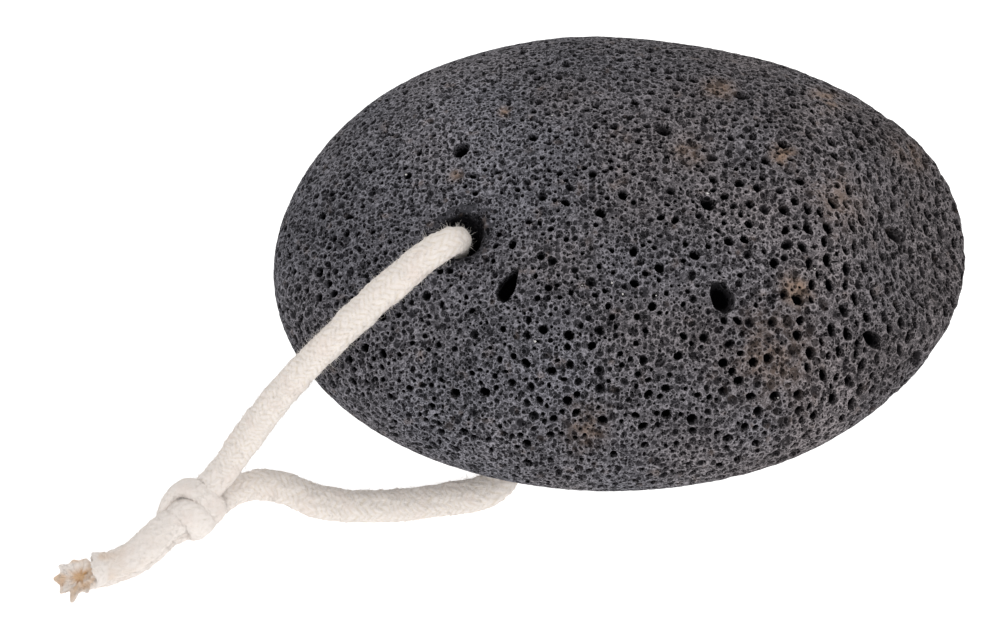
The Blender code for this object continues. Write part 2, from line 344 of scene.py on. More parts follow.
# What goes on inside the knot and out of it, as the two free ends.
UPPER_INSIDE = [(-60.5, -30.9, 6.0), (-62.5, -33.2, 5.4), (-64.5, -35.1, 5.8)]
LOWER_INSIDE = [(-59.8, -31.9, 2.3), (-62.4, -33.9, 2.3), (-64.9, -35.4, 2.3)]
UPPER_TAIL = [
    (-66.5, -36.9, 6.0), (-68.6, -39.0, 5.8), (-71.2, -40.9, 5.3), (-73.8, -41.9, 5.0), (-76.2, -42.5, 5.0),
]
LOWER_TAIL = [
    (-66.9, -36.6, 2.4), (-68.7, -38.6, 2.3), (-71.4, -40.6, 2.3), (-74.5, -41.9, 2.1), (-76.8, -42.6, 2.1),
    (-78.2, -43.0, 2.5), (-78.8, -43.2, 4.4),
]
ROUTE_STEP = 0.20


def strand_line(route, inside, tail):
    """The whole strand as one smooth line, and where along it the knot starts and ends."""
    line = smooth_line(route + inside + tail, ROUTE_STEP)
    cuts = [int(np.argmin(((line - np.array(place)) ** 2).sum(axis=1))) for place in (route[-1], tail[0])]
    return line, cuts


upper_line, upper_cuts = strand_line(UPPER_ROUTE, UPPER_INSIDE, UPPER_TAIL)
lower_line, lower_cuts = strand_line(LOWER_ROUTE, LOWER_INSIDE, LOWER_TAIL)
for title, line, cuts in (("upper", upper_line, upper_cuts), ("lower", lower_line, lower_cuts)):
    lengths = lengths_along(line)
    print(f"{title} strand: {lengths[-1]:.1f} mm, of which {lengths[cuts[0]]:.1f} mm before the knot")

# %% [markdown]
# A soft hollow braid is hardly ever round. It is pinched where it bends over the rim of the hole, and
# it spreads a little where it lies on the table. So each strand has a width and a height along it.

# %% Widths


def by_length(line, stops):
    """Values given at lengths in mm along a line, as (length, value) pairs, read at each of its points."""
    lengths, values = zip(*stops)
    return np.interp(lengths_along(line), lengths, values)


upper_width = by_length(upper_line, [
    (0, 3.7), (14, 3.5), (18, 3.6), (23, 4.3), (30, 4.7), (40, 4.5), (48, 4.3), (60, 4.6), (74, 4.6), (82, 4.2),
    (88, 4.9), (96, 4.6),
])
upper_height = by_length(upper_line, [
    (0, 3.7), (16, 3.5), (30, 3.9), (55, 3.9), (73, 3.6), (79, 3.0), (84, 3.4), (90, 3.2), (96, 2.6),
])
lower_width = by_length(lower_line, [
    (0, 3.9), (18, 3.9), (25, 4.3), (32, 4.7), (42, 5.0), (60, 4.8), (66, 5.0), (72, 4.7), (80, 4.1), (92, 4.6),
    (98, 4.4), (103, 3.4), (108, 3.2),
])
lower_height = by_length(lower_line, [
    (0, 3.9), (16, 3.8), (24, 3.7), (45, 3.9), (75, 3.9), (80, 3.5), (92, 3.7), (98, 3.8), (103, 4.3),
    (108, 4.6),
])
print(f"upper cord: {upper_width.min():.1f} to {upper_width.max():.1f} mm wide")

# %% [markdown]
# ## Cotton
#
# Unbleached cotton, spun soft and braided: it scatters light evenly, with a faint sheen at grazing
# angles from loose fibres, and its gaps get painted shade, darker and warmer than the yarns, as light
# goes from yarn to yarn there. The braid is real relief, so this painted shade is tied to its height,
# and noise the size of a fibre roughens it. Handling and dirt leave it brown at the cut ends, the
# hollow of a cut end gets painted shade in the same brown, and there the mesh says how brown each
# point is.

# %% Cotton
FIBRE_GRAIN = 0.16 * MM  # clumps of fibre; single ones are too fine to show
BLOTCH = 3.5 * MM  # unevenness of the undyed yarn


def cotton_material(name, yarn, gap, tint):
    """A cotton finish whose colour goes from a painted gap shade to the yarn's colour with the height of the
    braid, tinted in blotches.
    """
    material, tree, shader = new_material(
        name, {"Roughness": 0.92, "Specular IOR Level": 0.25, "Sheen Weight": 0.10, "Sheen Roughness": 0.6}
    )
    place = add(tree, "TexCoord", out="Object")
    height = add(tree, "Attribute", {"attribute_name": "braid"}, out="Fac")
    dirt_and_hollow_shade = add(tree, "Attribute", {"attribute_name": "dirt_and_hollow_shade"}, out="Fac")
    fibres = add(tree, "TexNoise", {}, {"Vector": place, "Scale": 1 / FIBRE_GRAIN, "Detail": 3.0})
    blotch = add(tree, "TexNoise", {}, {"Vector": place, "Scale": 1 / BLOTCH, "Detail": 2.0})

    plus, colours = {"operation": "MULTIPLY_ADD"}, {"data_type": "RGBA"}
    # The gap colour is painted shade between the yarns, and it shows where the braid is low.
    depth = add(tree, "Math", plus, {0: fibres, 1: 0.5, 2: height})
    rise = add(tree, "MapRange", {}, {"Value": depth, "From Min": 0.30, "From Max": 1.05})
    body = add(tree, "Mix", colours, {"Factor": rise, "A": linear(gap), "B": linear(yarn)}, "Result")
    patch = add(tree, "MapRange", {}, {"Value": blotch, "From Min": 0.52, "From Max": 0.75, "To Max": 0.5})
    tinted = add(tree, "Mix", colours, {"Factor": patch, "A": body, "B": linear(tint)}, "Result")

    # Brown dirt patches, and painted shade in the hollow of a cut end, turn the cotton ochre.
    spots = add(tree, "Math", plus, {0: blotch, 1: 0.9, 2: -0.45})
    clamped = plus | {"use_clamp": True}
    browned = add(tree, "Math", clamped, {0: dirt_and_hollow_shade, 1: spots, 2: 0.0})
    deep = add(tree, "Math", clamped, {0: dirt_and_hollow_shade, 1: 0.75, 2: browned})
    ochre = {"Factor": deep, "A": tinted, "B": linear("#c0904e")}
    tree.links.new(add(tree, "Mix", colours, ochre, "Result"), shader.inputs["Base Color"])
    bump = add(tree, "Bump", {}, {"Height": fibres, "Strength": 1.0, "Distance": 0.2 * MM})
    tree.links.new(bump, shader.inputs["Normal"])
    return material


# Yarn colour, gap colour as painted shade, and the tint of the blotches.
cotton = cotton_material("cotton_braid_unbleached", "#e8e0da", "#d3c5b1", "#e3d4cb")
fibre_cotton = cotton_material("cotton_fibre", "#e9e3dd", "#e9e3dd", "#e9e3dd")
print("cotton finishes:", cotton.name, fibre_cotton.name)

# %% [markdown]
# ## The strands, from the hole to the cut ends
#
# One grid of rings carries a whole strand, and is cut in three: the cord, the stretch inside the knot
# and the free end. So the braid runs on from piece to piece. At the cut the hollow braid opens and
# its yarns splay, which is the same grid with its last rings widened in points and turned back in.

# %% Make the two strands
TABLE_GAP = 0.08  # mm left between the cotton and the table
CRISP_ANGLE = 75.0  # degrees; the closed ends keep a crisp edge, and the braid stays smooth
SPLAY_LENGTH, INNER_RINGS = 2.6, 9  # mm of cord that opens at a cut, and rings that go back inside


def add_yarn_noise(grid, line, amount, seed):
    """The grid moved in and out from its line by noise, as hand-soft yarn is never even."""
    out = normalised(grid - line[:, None, :])
    flat_points = grid.reshape(-1, 3)
    noise = (soft_noise(flat_points, 0.8, seed) - 0.5) + 0.7 * (soft_noise(flat_points, 0.35, seed + 1) - 0.5)
    noise = noise + 1.1 * (soft_noise(flat_points, 3.0, seed + 2) - 0.5)
    return grid + (amount * noise).reshape(grid.shape[:2])[..., None] * out


def cotton_piece(name, grid, lift, dirt_and_hollow_shade=None):
    """A closed cotton tube, with the height of its braid and its brown, from dirt and from painted hollow
    shade, stored for the material.
    """
    points, faces = closed_tube(grid)
    piece = make_piece(name, points, faces, cotton, sharp=CRISP_ANGLE)
    dirt_and_hollow_shade = np.zeros(grid.shape[:2]) if dirt_and_hollow_shade is None else dirt_and_hollow_shade
    store(piece, "braid", np.concatenate([lift.ravel(), [0.5, 0.5]]))
    store(piece, "dirt_and_hollow_shade", np.concatenate([dirt_and_hollow_shade.ravel(), [dirt_and_hollow_shade[0].mean(), dirt_and_hollow_shade[-1].mean()]]))
    return piece


def ragged_end(grid, lift, along, splay, lobes, seed):
    """A cut end: the tube flares, its yarns splay in points, and the wall turns back inside the braid.

    Over the last stretch each ring grows by splay * share^2 * (0.55 + 0.75 point), where share runs
    from 0 to 1, point = |cos(lobes t / 2 + seed + 0.6 sin 2t)|^2.5 * (0.25 + 0.75 front)
    * (0.8 + 0.45 cos(3t + 1)) - 0.25, and front is 1 on the side that faces the front. Then the
    rings shrink and go back inside, in lumps. Brown dirt patches come from noise and fade away from
    the cut, and the core, the hollow inside the cut, is brown all over as painted shade.
    """
    rows, columns = grid.shape[:2]
    angle = np.linspace(0.0, 2.0 * math.pi, columns, endpoint=False)
    to_cut = along[-1] - along
    share = np.clip(1.0 - to_cut / SPLAY_LENGTH, 0.0, 1.0)[:, None] ** 2
    middle = grid.mean(axis=1, keepdims=True)
    radius = np.linalg.norm(grid - middle, axis=2)
    out = normalised(grid - middle)
    forward = normalised(middle[-1, 0] - middle[-6, 0])
    front = 0.5 - 0.5 * out[..., 1]
    point = np.abs(np.cos(0.5 * lobes * angle + seed + 0.6 * np.sin(2.0 * angle))) ** 2.5
    point = point * (0.25 + 0.75 * front) * (0.8 + 0.45 * np.cos(3.0 * angle + 1.0)) - 0.25
    grown = radius + share * splay * (0.55 + 0.75 * point)
    flared = middle + out * grown[..., None] + (share * 0.5 * point)[..., None] * forward
    rim, centre = flared[-1], middle[-1]
    inner = []
    for step in np.linspace(0.15, 1.0, INNER_RINGS):
        ring = centre + (rim - centre) * (1.0 - 0.8 * step) - 1.1 * step**2 * forward
        lumps = soft_noise(ring, 0.7, 41) + soft_noise(ring, 0.3, 42) - 1.0
        inner.append(ring + 0.7 * lumps[:, None] * forward)
    whole = np.concatenate([flared, inner])
    patches = soft_noise(whole.reshape(-1, 3), 1.5, seed + 9).reshape(whole.shape[:2])
    cloud = np.clip(3.5 * (patches - 0.46), 0.0, 1.0)
    near_cut = np.concatenate([np.exp(-to_cut / 3.6), np.ones(INNER_RINGS)])[:, None]
    # The hollow inside the cut gets painted shade in the same brown.
    hollow_shade = np.concatenate([np.zeros(rows), np.linspace(0.0, 1.0, INNER_RINGS) ** 2.5])[:, None]
    dirt_and_hollow_shade = np.clip(0.6 * cloud * near_cut + 0.92 * hollow_shade, 0.0, 1.0)
    return whole, np.concatenate([lift, np.full((INNER_RINGS, columns), 0.95)]), dirt_and_hollow_shade


def make_strand(title, line, cuts, width, height, sideways, seed, splay, lobes):
    """The cord, the stretch inside the knot and the free end of one strand, cut from one grid."""
    grid, lift = braided_tube(line, width, height, sideways)
    grid = add_yarn_noise(grid, line, 0.24, seed)
    along = lengths_along(line)
    first, second = cuts
    # Handling has matted the cotton of the knot and the free ends, so the painted shade in its gaps is lighter
    # there.
    matted = np.clip((along - along[first] + 5.0) / 9.0, 0.0, 1.0)[:, None]
    lift = lift + 0.45 * matted * (1.0 - lift)
    end_grid, end_lift, dirt_and_hollow_shade = ragged_end(grid[second:], lift[second:], along[second:], splay, lobes, seed)
    end_grid[..., 2] = np.maximum(end_grid[..., 2], TABLE_GAP)
    inside = slice(first, second + 1)
    return (
        cotton_piece(f"cord_{title}_braid", grid[: first + 1], lift[: first + 1]),
        cotton_piece(f"knot_strand_{title}", grid[inside], lift[inside]),
        cotton_piece(f"tail_{title}_frayed", end_grid, end_lift, dirt_and_hollow_shade),
        grid,
        end_grid[:-4],  # the last four rings are deep in the cut, and carry no loose fibres
    )


upper_cord, upper_core, upper_tail, upper_grid, upper_end = make_strand(
    "upper", upper_line, upper_cuts, upper_width, upper_height, (0.5, -0.85, 0.0), 3, splay=0.9, lobes=5
)
lower_cord, lower_core, lower_tail, lower_grid, lower_end = make_strand(
    "lower", lower_line, lower_cuts, lower_width, lower_height, (-0.57, 0.40, -0.72), 5, splay=1.9, lobes=9
)

# %% [markdown]
# ## The knot
#
# It is an overhand knot pulled tight. The cord is hollow, so it is squeezed nearly flat where it
# turns. From above it shows a band across the two strands, which bends back at the left as an ear,
# and a broad turn over the middle. A flat oval is carried round the knot's axis for each of them.

# %% The turns of the knot
KNOT_MIDDLE = np.array([-62.4, -33.5, 4.6])
KNOT_AXIS = normalised(np.array([-0.75, -0.66, 0.0]))
KNOT_SIDE = np.array([-KNOT_AXIS[1], KNOT_AXIS[0], 0.0])
KNOT_AROUND, KNOT_RELIEF = 72, 0.08
# Middle lines of the turns: along the axis towards the free ends, sideways, and up.
BAND_AND_EAR = [
    (-1.6, -0.6, -3.0), (-2.2, 1.6, -2.6), (-2.5, 2.4, -0.9), (-2.6, 1.9, 1.3), (-2.5, 0.6, 2.3),
    (-2.1, -1.1, 2.5), (-1.3, -2.7, 2.0), (0.1, -3.5, 1.4), (1.6, -3.3, 0.7), (2.8, -2.7, 0.0),
    (3.3, -1.8, -0.9), (3.0, -0.8, -1.9),
]
BROAD_TURN = [
    (2.6, -2.2, -1.2), (2.9, -1.9, 0.3), (2.4, -1.2, 1.4), (1.6, -0.1, 2.1), (0.9, 1.1, 2.3), (0.5, 2.1, 1.5),
    (0.4, 2.6, 0.0), (0.5, 2.4, -1.7), (0.6, 1.2, -3.0), (0.6, -0.8, -3.0), (0.3, -2.6, -1.8),
]


def knot_place(points):
    """Points given along the knot's axis, sideways and up, in the part's frame."""
    along, across, rise = np.array(points, float).T[:, :, None]
    return KNOT_MIDDLE + along * KNOT_AXIS + across * KNOT_SIDE + rise * np.array([0.0, 0.0, 1.0])


def flat_turn(name, points, width, thickness, seed):
    """A flattened braid carried round the knot: its flat faces the knot's axis at every point.

    The outline is squarer than an ellipse: width |cos t|^0.85 across, thickness |sin t|^0.9 above.
    """
    line = smooth_line(knot_place(points), 0.18, 0.9)
    tangent = normalised(np.gradient(line, axis=0))
    out = line - KNOT_MIDDLE
    out = out - 0.85 * (out @ KNOT_AXIS)[:, None] * KNOT_AXIS
    out = normalised(out - (out * tangent).sum(axis=1, keepdims=True) * tangent)
    side = np.cross(out, tangent)
    angle = np.linspace(0.0, 2.0 * math.pi, KNOT_AROUND, endpoint=False)
    along = lengths_along(line)
    # Pulled tight round the knot, the braid is a little shorter in its pitch.
    lift = braid_height(along[:, None] * 1.15, angle[None, :])
    relief = KNOT_RELIEF * (lift - MEAN_LIFT)
    wide = by_length(line, width)[:, None] / 2.0 + relief
    thick = by_length(line, thickness)[:, None] / 2.0 + relief
    across = wide * np.sign(np.cos(angle)) * np.abs(np.cos(angle)) ** 0.85
    above = thick * np.sign(np.sin(angle)) * np.abs(np.sin(angle)) ** 0.9
    grid = line[:, None, :] - across[..., None] * side[:, None, :] + above[..., None] * out[:, None, :]
    grid = add_yarn_noise(grid, line, 0.22, seed)
    grid[..., 2] = np.maximum(grid[..., 2], TABLE_GAP)
    return cotton_piece(name, grid, lift + 0.4 * (1.0 - lift)), grid  # matted, as the strands are


knot_band, band_grid = flat_turn(
    "knot_band_and_ear", BAND_AND_EAR,
    [(0, 3.4), (6, 3.6), (10, 3.4), (14, 3.5), (18, 3.7), (22, 3.5), (30, 3.3)],
    [(0, 2.0), (6, 2.1), (11, 2.3), (15, 2.0), (20, 1.8), (30, 1.8)], 13,
)
knot_turn, turn_grid = flat_turn(
    "knot_broad_turn", BROAD_TURN,
    [(0, 3.0), (3, 3.8), (6, 4.4), (10, 4.6), (14, 4.2), (20, 3.6), (26, 3.0)],
    [(0, 1.8), (4, 2.2), (8, 2.6), (12, 2.4), (20, 1.9), (26, 1.6)], 17,
)

# %% [markdown]
# ## Loose fibres
#
# Brushed cotton never has a clean outline: short fibres stand off it everywhere. Some eighteen
# thousand fine curved hairs are set over the braid. Real fibres are 0.02 mm thick; these are drawn
# about 0.06 mm thick, because finer ones would not show. Each has only three sides and three rings.

# %% Fibres
FIBRE_SIDES, FIBRE_RINGS = 3, 3
FIBRE_RADIUS = 0.028
FIBRES_PER_MM2 = 7.0
# The first rings lie deep in the hole, where no fibre shows.
UPPER_FUZZ_FROM, LOWER_FUZZ_FROM = 80, 60


def fuzz(name, grids, seed):
    """Hairs rooted at random places of some grids.

    Point = root + length * t * lean + curl * t^2, with t from 0 at the root to 1 at the tip, and three
    points round it at a radius that shrinks with t.
    """
    draw = np.random.default_rng(seed)
    roots, outs, runs = [], [], []
    for grid in grids:
        ways = normalised(grid - grid.mean(axis=1, keepdims=True)).reshape(-1, 3)
        along = normalised(np.gradient(grid, axis=0)).reshape(-1, 3)
        area = np.linalg.norm(np.diff(grid[:, :2], axis=1)[:, 0], axis=1).mean() * ROUTE_STEP
        pick = draw.choice(len(ways), int(len(ways) * area * FIBRES_PER_MM2), replace=False)
        roots.append(grid.reshape(-1, 3)[pick])
        outs.append(ways[pick])
        runs.append(along[pick])
    root, out, run = np.vstack(roots), np.vstack(outs), np.vstack(runs)
    number = len(root)
    lean = 0.55 * out + draw.normal(size=(number, 1)) * 0.8 * run + 0.45 * draw.normal(size=(number, 3))
    lean = normalised(lean)
    inwards = (lean * out).sum(axis=1, keepdims=True)
    lean = normalised(lean - np.minimum(inwards - 0.15, 0.0) * out)
    curl = 0.35 * draw.normal(size=(number, 3))
    length = draw.gamma(3.0, 0.16, (number, 1)).clip(0.2, 1.0)
    t = np.linspace(0.0, 1.0, FIBRE_RINGS)[None, :, None]
    reach = t * lean[:, None] + t**2 * curl[:, None]
    spine = root[:, None] - 0.05 * out[:, None] + length[:, None] * reach
    first = normalised(np.cross(lean, [0.31, 0.52, 0.80]))
    second = np.cross(lean, first)
    angle = np.arange(FIBRE_SIDES) * 2.0 * math.pi / FIBRE_SIDES
    ring = np.cos(angle)[:, None] * first[:, None, :] + np.sin(angle)[:, None] * second[:, None, :]
    radius = FIBRE_RADIUS * (1.0 - 0.75 * t[..., None])
    hairs = spine[:, :, None, :] + radius * ring[:, None, :, :]
    hairs[..., 2] = np.maximum(hairs[..., 2], 0.03)
    quads = tube_faces(FIBRE_RINGS, FIBRE_SIDES)
    caps = np.array([[2, 1, 0], [6, 7, 8]])
    shift = (np.arange(number) * FIBRE_SIDES * FIBRE_RINGS)[:, None, None]
    faces = [(quads + shift).reshape(-1, 4), (caps + shift).reshape(-1, 3)]
    return make_piece(name, hairs.reshape(-1, 3), faces, fibre_cotton)


upper_fibres = fuzz("fuzz_upper", [upper_grid[UPPER_FUZZ_FROM : upper_cuts[1]], upper_end, band_grid], 31)
lower_fibres = fuzz("fuzz_lower", [lower_grid[LOWER_FUZZ_FROM : lower_cuts[1]], lower_end, turn_grid], 37)

# %% [markdown]
# ## The stone's skin
#
# The pebble was sawn from a lava block and tumbled, so its outline is soft, with a broad facet on the
# right end and a worn flat below. Its skin is one distance for each direction from its middle. That
# form is chosen because any point set on a ball then becomes a point set on the stone.

# %% Skin
HALF_AXES = np.array([51.5, 35.4, 20.0])
TILT = math.radians(2.5)
FLAT_DEPTH = 0.45
# Broad lumps and hollows: azimuth, elevation and angular width in degrees, and height in mm.
LUMPS = [
    (14.9, 5.9, 22.0, 1.2), (-22.4, -8.8, 26.0, -1.4), (-68.6, -20.6, 26.0, -0.6), (-149.9, -11.5, 26.0, 0.6),
    (168.9, 4.5, 26.0, -3.2), (127.1, 17.9, 26.0, -1.3), (73.9, 21.2, 26.0, -1.3), (0.0, 26.0, 18.0, 1.2),
    (-162.0, -33.0, 26.0, -1.6),
]
FACET_NORMAL = normalised(np.array([0.63, -0.02, 0.777]))
FACET_DISTANCE, FACET_SOFTNESS = 33.3, 0.5


def unit(azimuth, elevation):
    """The direction at an azimuth from +X towards +Y and an elevation above the level, in degrees."""
    turn, rise = math.radians(azimuth), math.radians(elevation)
    return np.array([math.cos(rise) * math.cos(turn), math.cos(rise) * math.sin(turn), math.sin(rise)])


def skin_distance(directions):
    """An ellipsoid's distance, plus a bell curve of the angle for each lump, cut softly by the facet."""
    distance = 1.0 / np.sqrt(((directions / HALF_AXES) ** 2).sum(axis=1))
    for azimuth, elevation, width, height in LUMPS:
        angle = np.degrees(np.arccos(np.clip(directions @ unit(azimuth, elevation), -1.0, 1.0)))
        distance = distance + height * np.exp(-((angle / width) ** 2))
    plane = FACET_DISTANCE / np.maximum(directions @ FACET_NORMAL, 0.2)
    return -FACET_SOFTNESS * np.logaddexp(-distance / FACET_SOFTNESS, -plane / FACET_SOFTNESS)


def turned(points, angle):
    """Points turned about +Y; a positive angle raises the -X end."""
    x, y, z = points.T
    cos, sin = math.cos(angle), math.sin(angle)
    return np.stack([x * cos + z * sin, y, z * cos - x * sin], axis=1)


def even_ball(count):
    """Directions spread evenly over a ball: heights in equal steps, each a golden angle further round."""
    height = 1.0 - (2.0 * np.arange(count) + 1.0) / count
    turn = np.arange(count) * math.pi * (3.0 - math.sqrt(5.0))
    level = np.sqrt(1.0 - height**2)
    return np.stack([level * np.cos(turn), level * np.sin(turn), height], axis=1)


ball = even_ball(60000)
bare = turned(ball * skin_distance(ball)[:, None], TILT)
floor = bare[:, 2].min() + FLAT_DEPTH
bare[:, 2] = np.maximum(bare[:, 2], floor)
box_middle = (bare.min(axis=0) + bare.max(axis=0)) / 2
STONE_MIDDLE = -np.array([box_middle[0], box_middle[1], floor])


def skin(directions):
    """Points of the skin, in the part's frame, along directions in the stone's own axes."""
    points = turned(directions * skin_distance(directions)[:, None], TILT) + STONE_MIDDLE
    points[:, 2] = np.maximum(points[:, 2], 0.0)
    return points


def directions_to(points):
    """The directions, in the stone's own axes, from the stone's middle to points of the part's frame."""
    return normalised(turned(np.asarray(points, float) - STONE_MIDDLE, -TILT))


def skin_normals(directions):
    """Outward normals, and the skin's area for each unit of the ball's, from two small sideways steps."""
    step = 0.004
    helper = np.where(np.abs(directions[:, 2:]) < 0.9, [0.0, 0.0, 1.0], [1.0, 0.0, 0.0])
    first = normalised(np.cross(directions, helper))
    second = np.cross(directions, first)
    slopes = []
    for way in (first, second):
        ahead, behind = skin(normalised(directions + step * way)), skin(normalised(directions - step * way))
        slopes.append((ahead - behind) / (2 * step))
    normal = np.cross(slopes[0], slopes[1])
    return normalised(normal), np.linalg.norm(normal, axis=1)


stone_box = [tuple(round(v / MM, 1) for v in corner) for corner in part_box("stone")]
print("stone's middle:", STONE_MIDDLE.round(3), "mm; box in the packed model:", stone_box)

# %% [markdown]
# ## Bubbles
#
# Gas left thousands of round bubbles in the lava, and the saw and the tumbler cut them open: small
# ones round the hole, larger ones on the right end. They are placed as darts, the largest first, and
# a dart that would break into a neighbour is dropped, so that thin walls are left between them.

# %% Darts
rng = np.random.default_rng(7)


def random_places(count):
    """Random directions whose places lie evenly over the skin: kept with odds that follow its area."""
    tries = normalised(rng.normal(size=(count * 4, 3)))
    area = skin_normals(tries)[1]
    return tries[rng.random(len(tries)) < area / np.quantile(area, 0.995)][:count]


def near(points, radii, others, other_radii, spread, gap):
    """A table that says which points come nearer to which others than the sum of their radii allows."""
    squares = (points**2).sum(1)[:, None] + (others**2).sum(1)[None, :] - 2.0 * points @ others.T
    return squares < (spread * (radii[:, None] + other_radii[None, :]) + gap) ** 2


def throw_darts(points, radii, first_points, first_radii, spread=1.0, gap=0.085, batch=600):
    """Which darts stay: each in its turn, if it clears all that stayed before it."""
    kept = np.zeros(len(points), bool)
    placed, sizes = np.array(first_points, np.float32), np.array(first_radii, np.float32)
    points, radii = points.astype(np.float32), radii.astype(np.float32)
    for start in range(0, len(points), batch):
        part, size = points[start : start + batch], radii[start : start + batch]
        free = ~near(part, size, placed, sizes, spread, gap).any(axis=1)
        clash = near(part, size, part, size, spread, gap)
        for k in range(len(part)):
            if free[k]:
                free[k + 1 :] &= ~clash[k, k + 1 :]
        kept[start : start + batch] = free
        placed, sizes = np.vstack([placed, part[free]]), np.concatenate([sizes, size[free]])
    return kept


# %% [markdown]
# No bubble crosses the rounded mouths of the hole. The sixteen largest bubbles are those of the packed
# model, and the rest are random, with a usual size that changes over the stone.

# %% Where bubbles are, and how large
HOLE_RADIUS, MOUTH_ROUNDING = 3.1, 1.0
bore_axis = normalised(HOLE_TOP - HOLE_BOTTOM)
bore_side = normalised(np.cross(bore_axis, [0.0, 1.0, 0.0]))
bore_up = np.cross(bore_axis, bore_side)


def mouth_rounding(angle, top):
    """How far the mouth is rounded at each angle: uneven, and at the top worn widest at the back."""
    uneven = 1.0 + 0.05 * np.sin(3.0 * angle + 0.7) + 0.04 * np.sin(5.0 * angle)
    worn = 0.16 * np.maximum(np.sin(angle - 0.2), 0.0) ** 2 if top else 0.0
    return MOUTH_ROUNDING * (uneven + worn)


def in_mouth(points, margins):
    """Which points of the skin are nearer to a mouth's ring than their margin, or inside it."""
    offset = points - HOLE_BOTTOM
    offset = offset - (offset @ bore_axis)[:, None] * bore_axis
    angle = np.arctan2(offset @ bore_up, offset @ bore_side)
    rounding = np.where(points[:, 2] > 20.0, mouth_rounding(angle, True), mouth_rounding(angle, False))
    return np.linalg.norm(offset, axis=1) < HOLE_RADIUS + rounding + margins


# The largest: azimuth, elevation, half length, half width, depth, turn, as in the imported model.
PITS = [
    (-143.1, 41.8, 2.7, 1.15, 2.6, 85.0), (-43.7, 42.9, 2.4, 1.7, 2.4, 80.0),
    (157.9, 34.1, 1.45, 1.2, 1.8, 20.0),
    (-0.4, 15.1, 2.1, 1.2, 1.8, 90.0), (47.7, 29.7, 1.2, 1.0, 1.3, 0.0), (1.2, 58.6, 1.2, 1.05, 1.3, 40.0),
    (63.1, 54.2, 1.3, 1.1, 1.3, 10.0), (-24.6, 15.1, 1.9, 1.1, 1.7, 110.0), (-20.9, 4.8, 1.7, 1.1, 1.6, 90.0),
    (-8.0, -12.0, 2.2, 1.5, 2.0, 60.0), (28.0, 4.0, 1.8, 1.2, 1.7, 80.0), (62.0, -8.0, 2.3, 1.5, 2.2, 15.0),
    (112.0, 2.0, 1.6, 1.3, 1.6, 50.0), (138.0, -22.0, 1.9, 1.2, 1.8, 70.0),
    (20.0, -42.0, 2.4, 1.6, 2.2, 30.0), (-60.0, -40.0, 1.7, 1.3, 1.7, 120.0),
]


def bubble_scale(points, normals):
    """The usual bubble radius at each place, in mm: fine round the hole, coarse on the right end."""
    x, y, z = points.T
    right = 1.0 / (1.0 + np.exp(-(x - 20.0 - 0.25 * y) / 5.0))
    back_left = np.exp(-(((x + 28.0) / 18.0) ** 2) - ((y - 16.0) / 12.0) ** 2)
    round_hole = np.exp(-(((points - HOLE_TOP) ** 2).sum(1)) / 11.0**2)
    front = np.exp(-(((y + 30.0) / 9.0) ** 2)) * (z < 30)
    below = 1.0 / (1.0 + np.exp((normals[:, 2] + 0.35) / 0.08))
    patch = soft_noise(points, 7.0, 11)
    end = 1.0 / (1.0 + np.exp(-(x - 30.0) / 3.0))
    coarser = 0.20 * right + 0.08 * end + 0.30 * below
    finer = 0.08 * back_left + 0.07 * round_hole + 0.03 * front
    return (0.335 + coarser - finer) * (0.75 + 0.5 * patch)


pit_directions = np.array([unit(azimuth, elevation) for azimuth, elevation, *_ in PITS])
pit_places, pit_normals = skin(pit_directions), skin_normals(pit_directions)[0]
pit_sizes = np.array([pit[2:5] for pit in PITS])
pit_turns = np.radians([pit[5] for pit in PITS])
pit_frames = np.array([Vector(n).to_track_quat("Z", "Y").to_matrix() for n in pit_normals.tolist()])
pit_long = np.cos(pit_turns)[:, None] * pit_frames[:, :, 0] + np.sin(pit_turns)[:, None] * pit_frames[:, :, 1]
# Each long pit keeps its ground with three discs in a row.
steps = np.array([-1.0, 0.0, 1.0])[None, :, None] * (pit_sizes[:, 0] - pit_sizes[:, 1])[:, None, None]
held_places = (pit_places[:, None, :] + steps * pit_long[:, None, :]).reshape(-1, 3)
held_radii = np.repeat(pit_sizes[:, 1] * 1.06, 3)

# Bubbles are dense where the skin is seen, and grains of one point each fill the walls between them.
BUBBLES_TRIED, FINE_TRIED, GRAINS_TRIED = 44000, 22000, 36000
GRAIN = 0.20
LEAST_RADIUS, LEAST_BELOW = 0.215, 0.42  # mm; coarser below, where the stone is not seen
MOST_RADIUS, MOST_BELOW = 0.85, 0.95
FACES_DOWN = -0.3  # a normal's height under which the skin counts as the underside
tries = random_places(BUBBLES_TRIED + FINE_TRIED + GRAINS_TRIED)
try_places, try_normals = skin(tries), skin_normals(tries)[0]
sizes = bubble_scale(try_places, try_normals) * np.exp(0.36 * rng.normal(size=len(tries)))
below = try_normals[:, 2] < FACES_DOWN
sizes[BUBBLES_TRIED:] = rng.uniform(LEAST_RADIUS, 0.33, FINE_TRIED + GRAINS_TRIED)
most = MOST_RADIUS + 0.25 * (try_places[:, 0] > 22.0)
sizes = np.clip(sizes, np.where(below, LEAST_BELOW, LEAST_RADIUS), np.where(below, MOST_BELOW, most))
last = slice(BUBBLES_TRIED + FINE_TRIED, None)
sizes[last] = GRAIN * np.where(below[last], 1.9, 1.0) * rng.uniform(0.8, 1.12, GRAINS_TRIED)
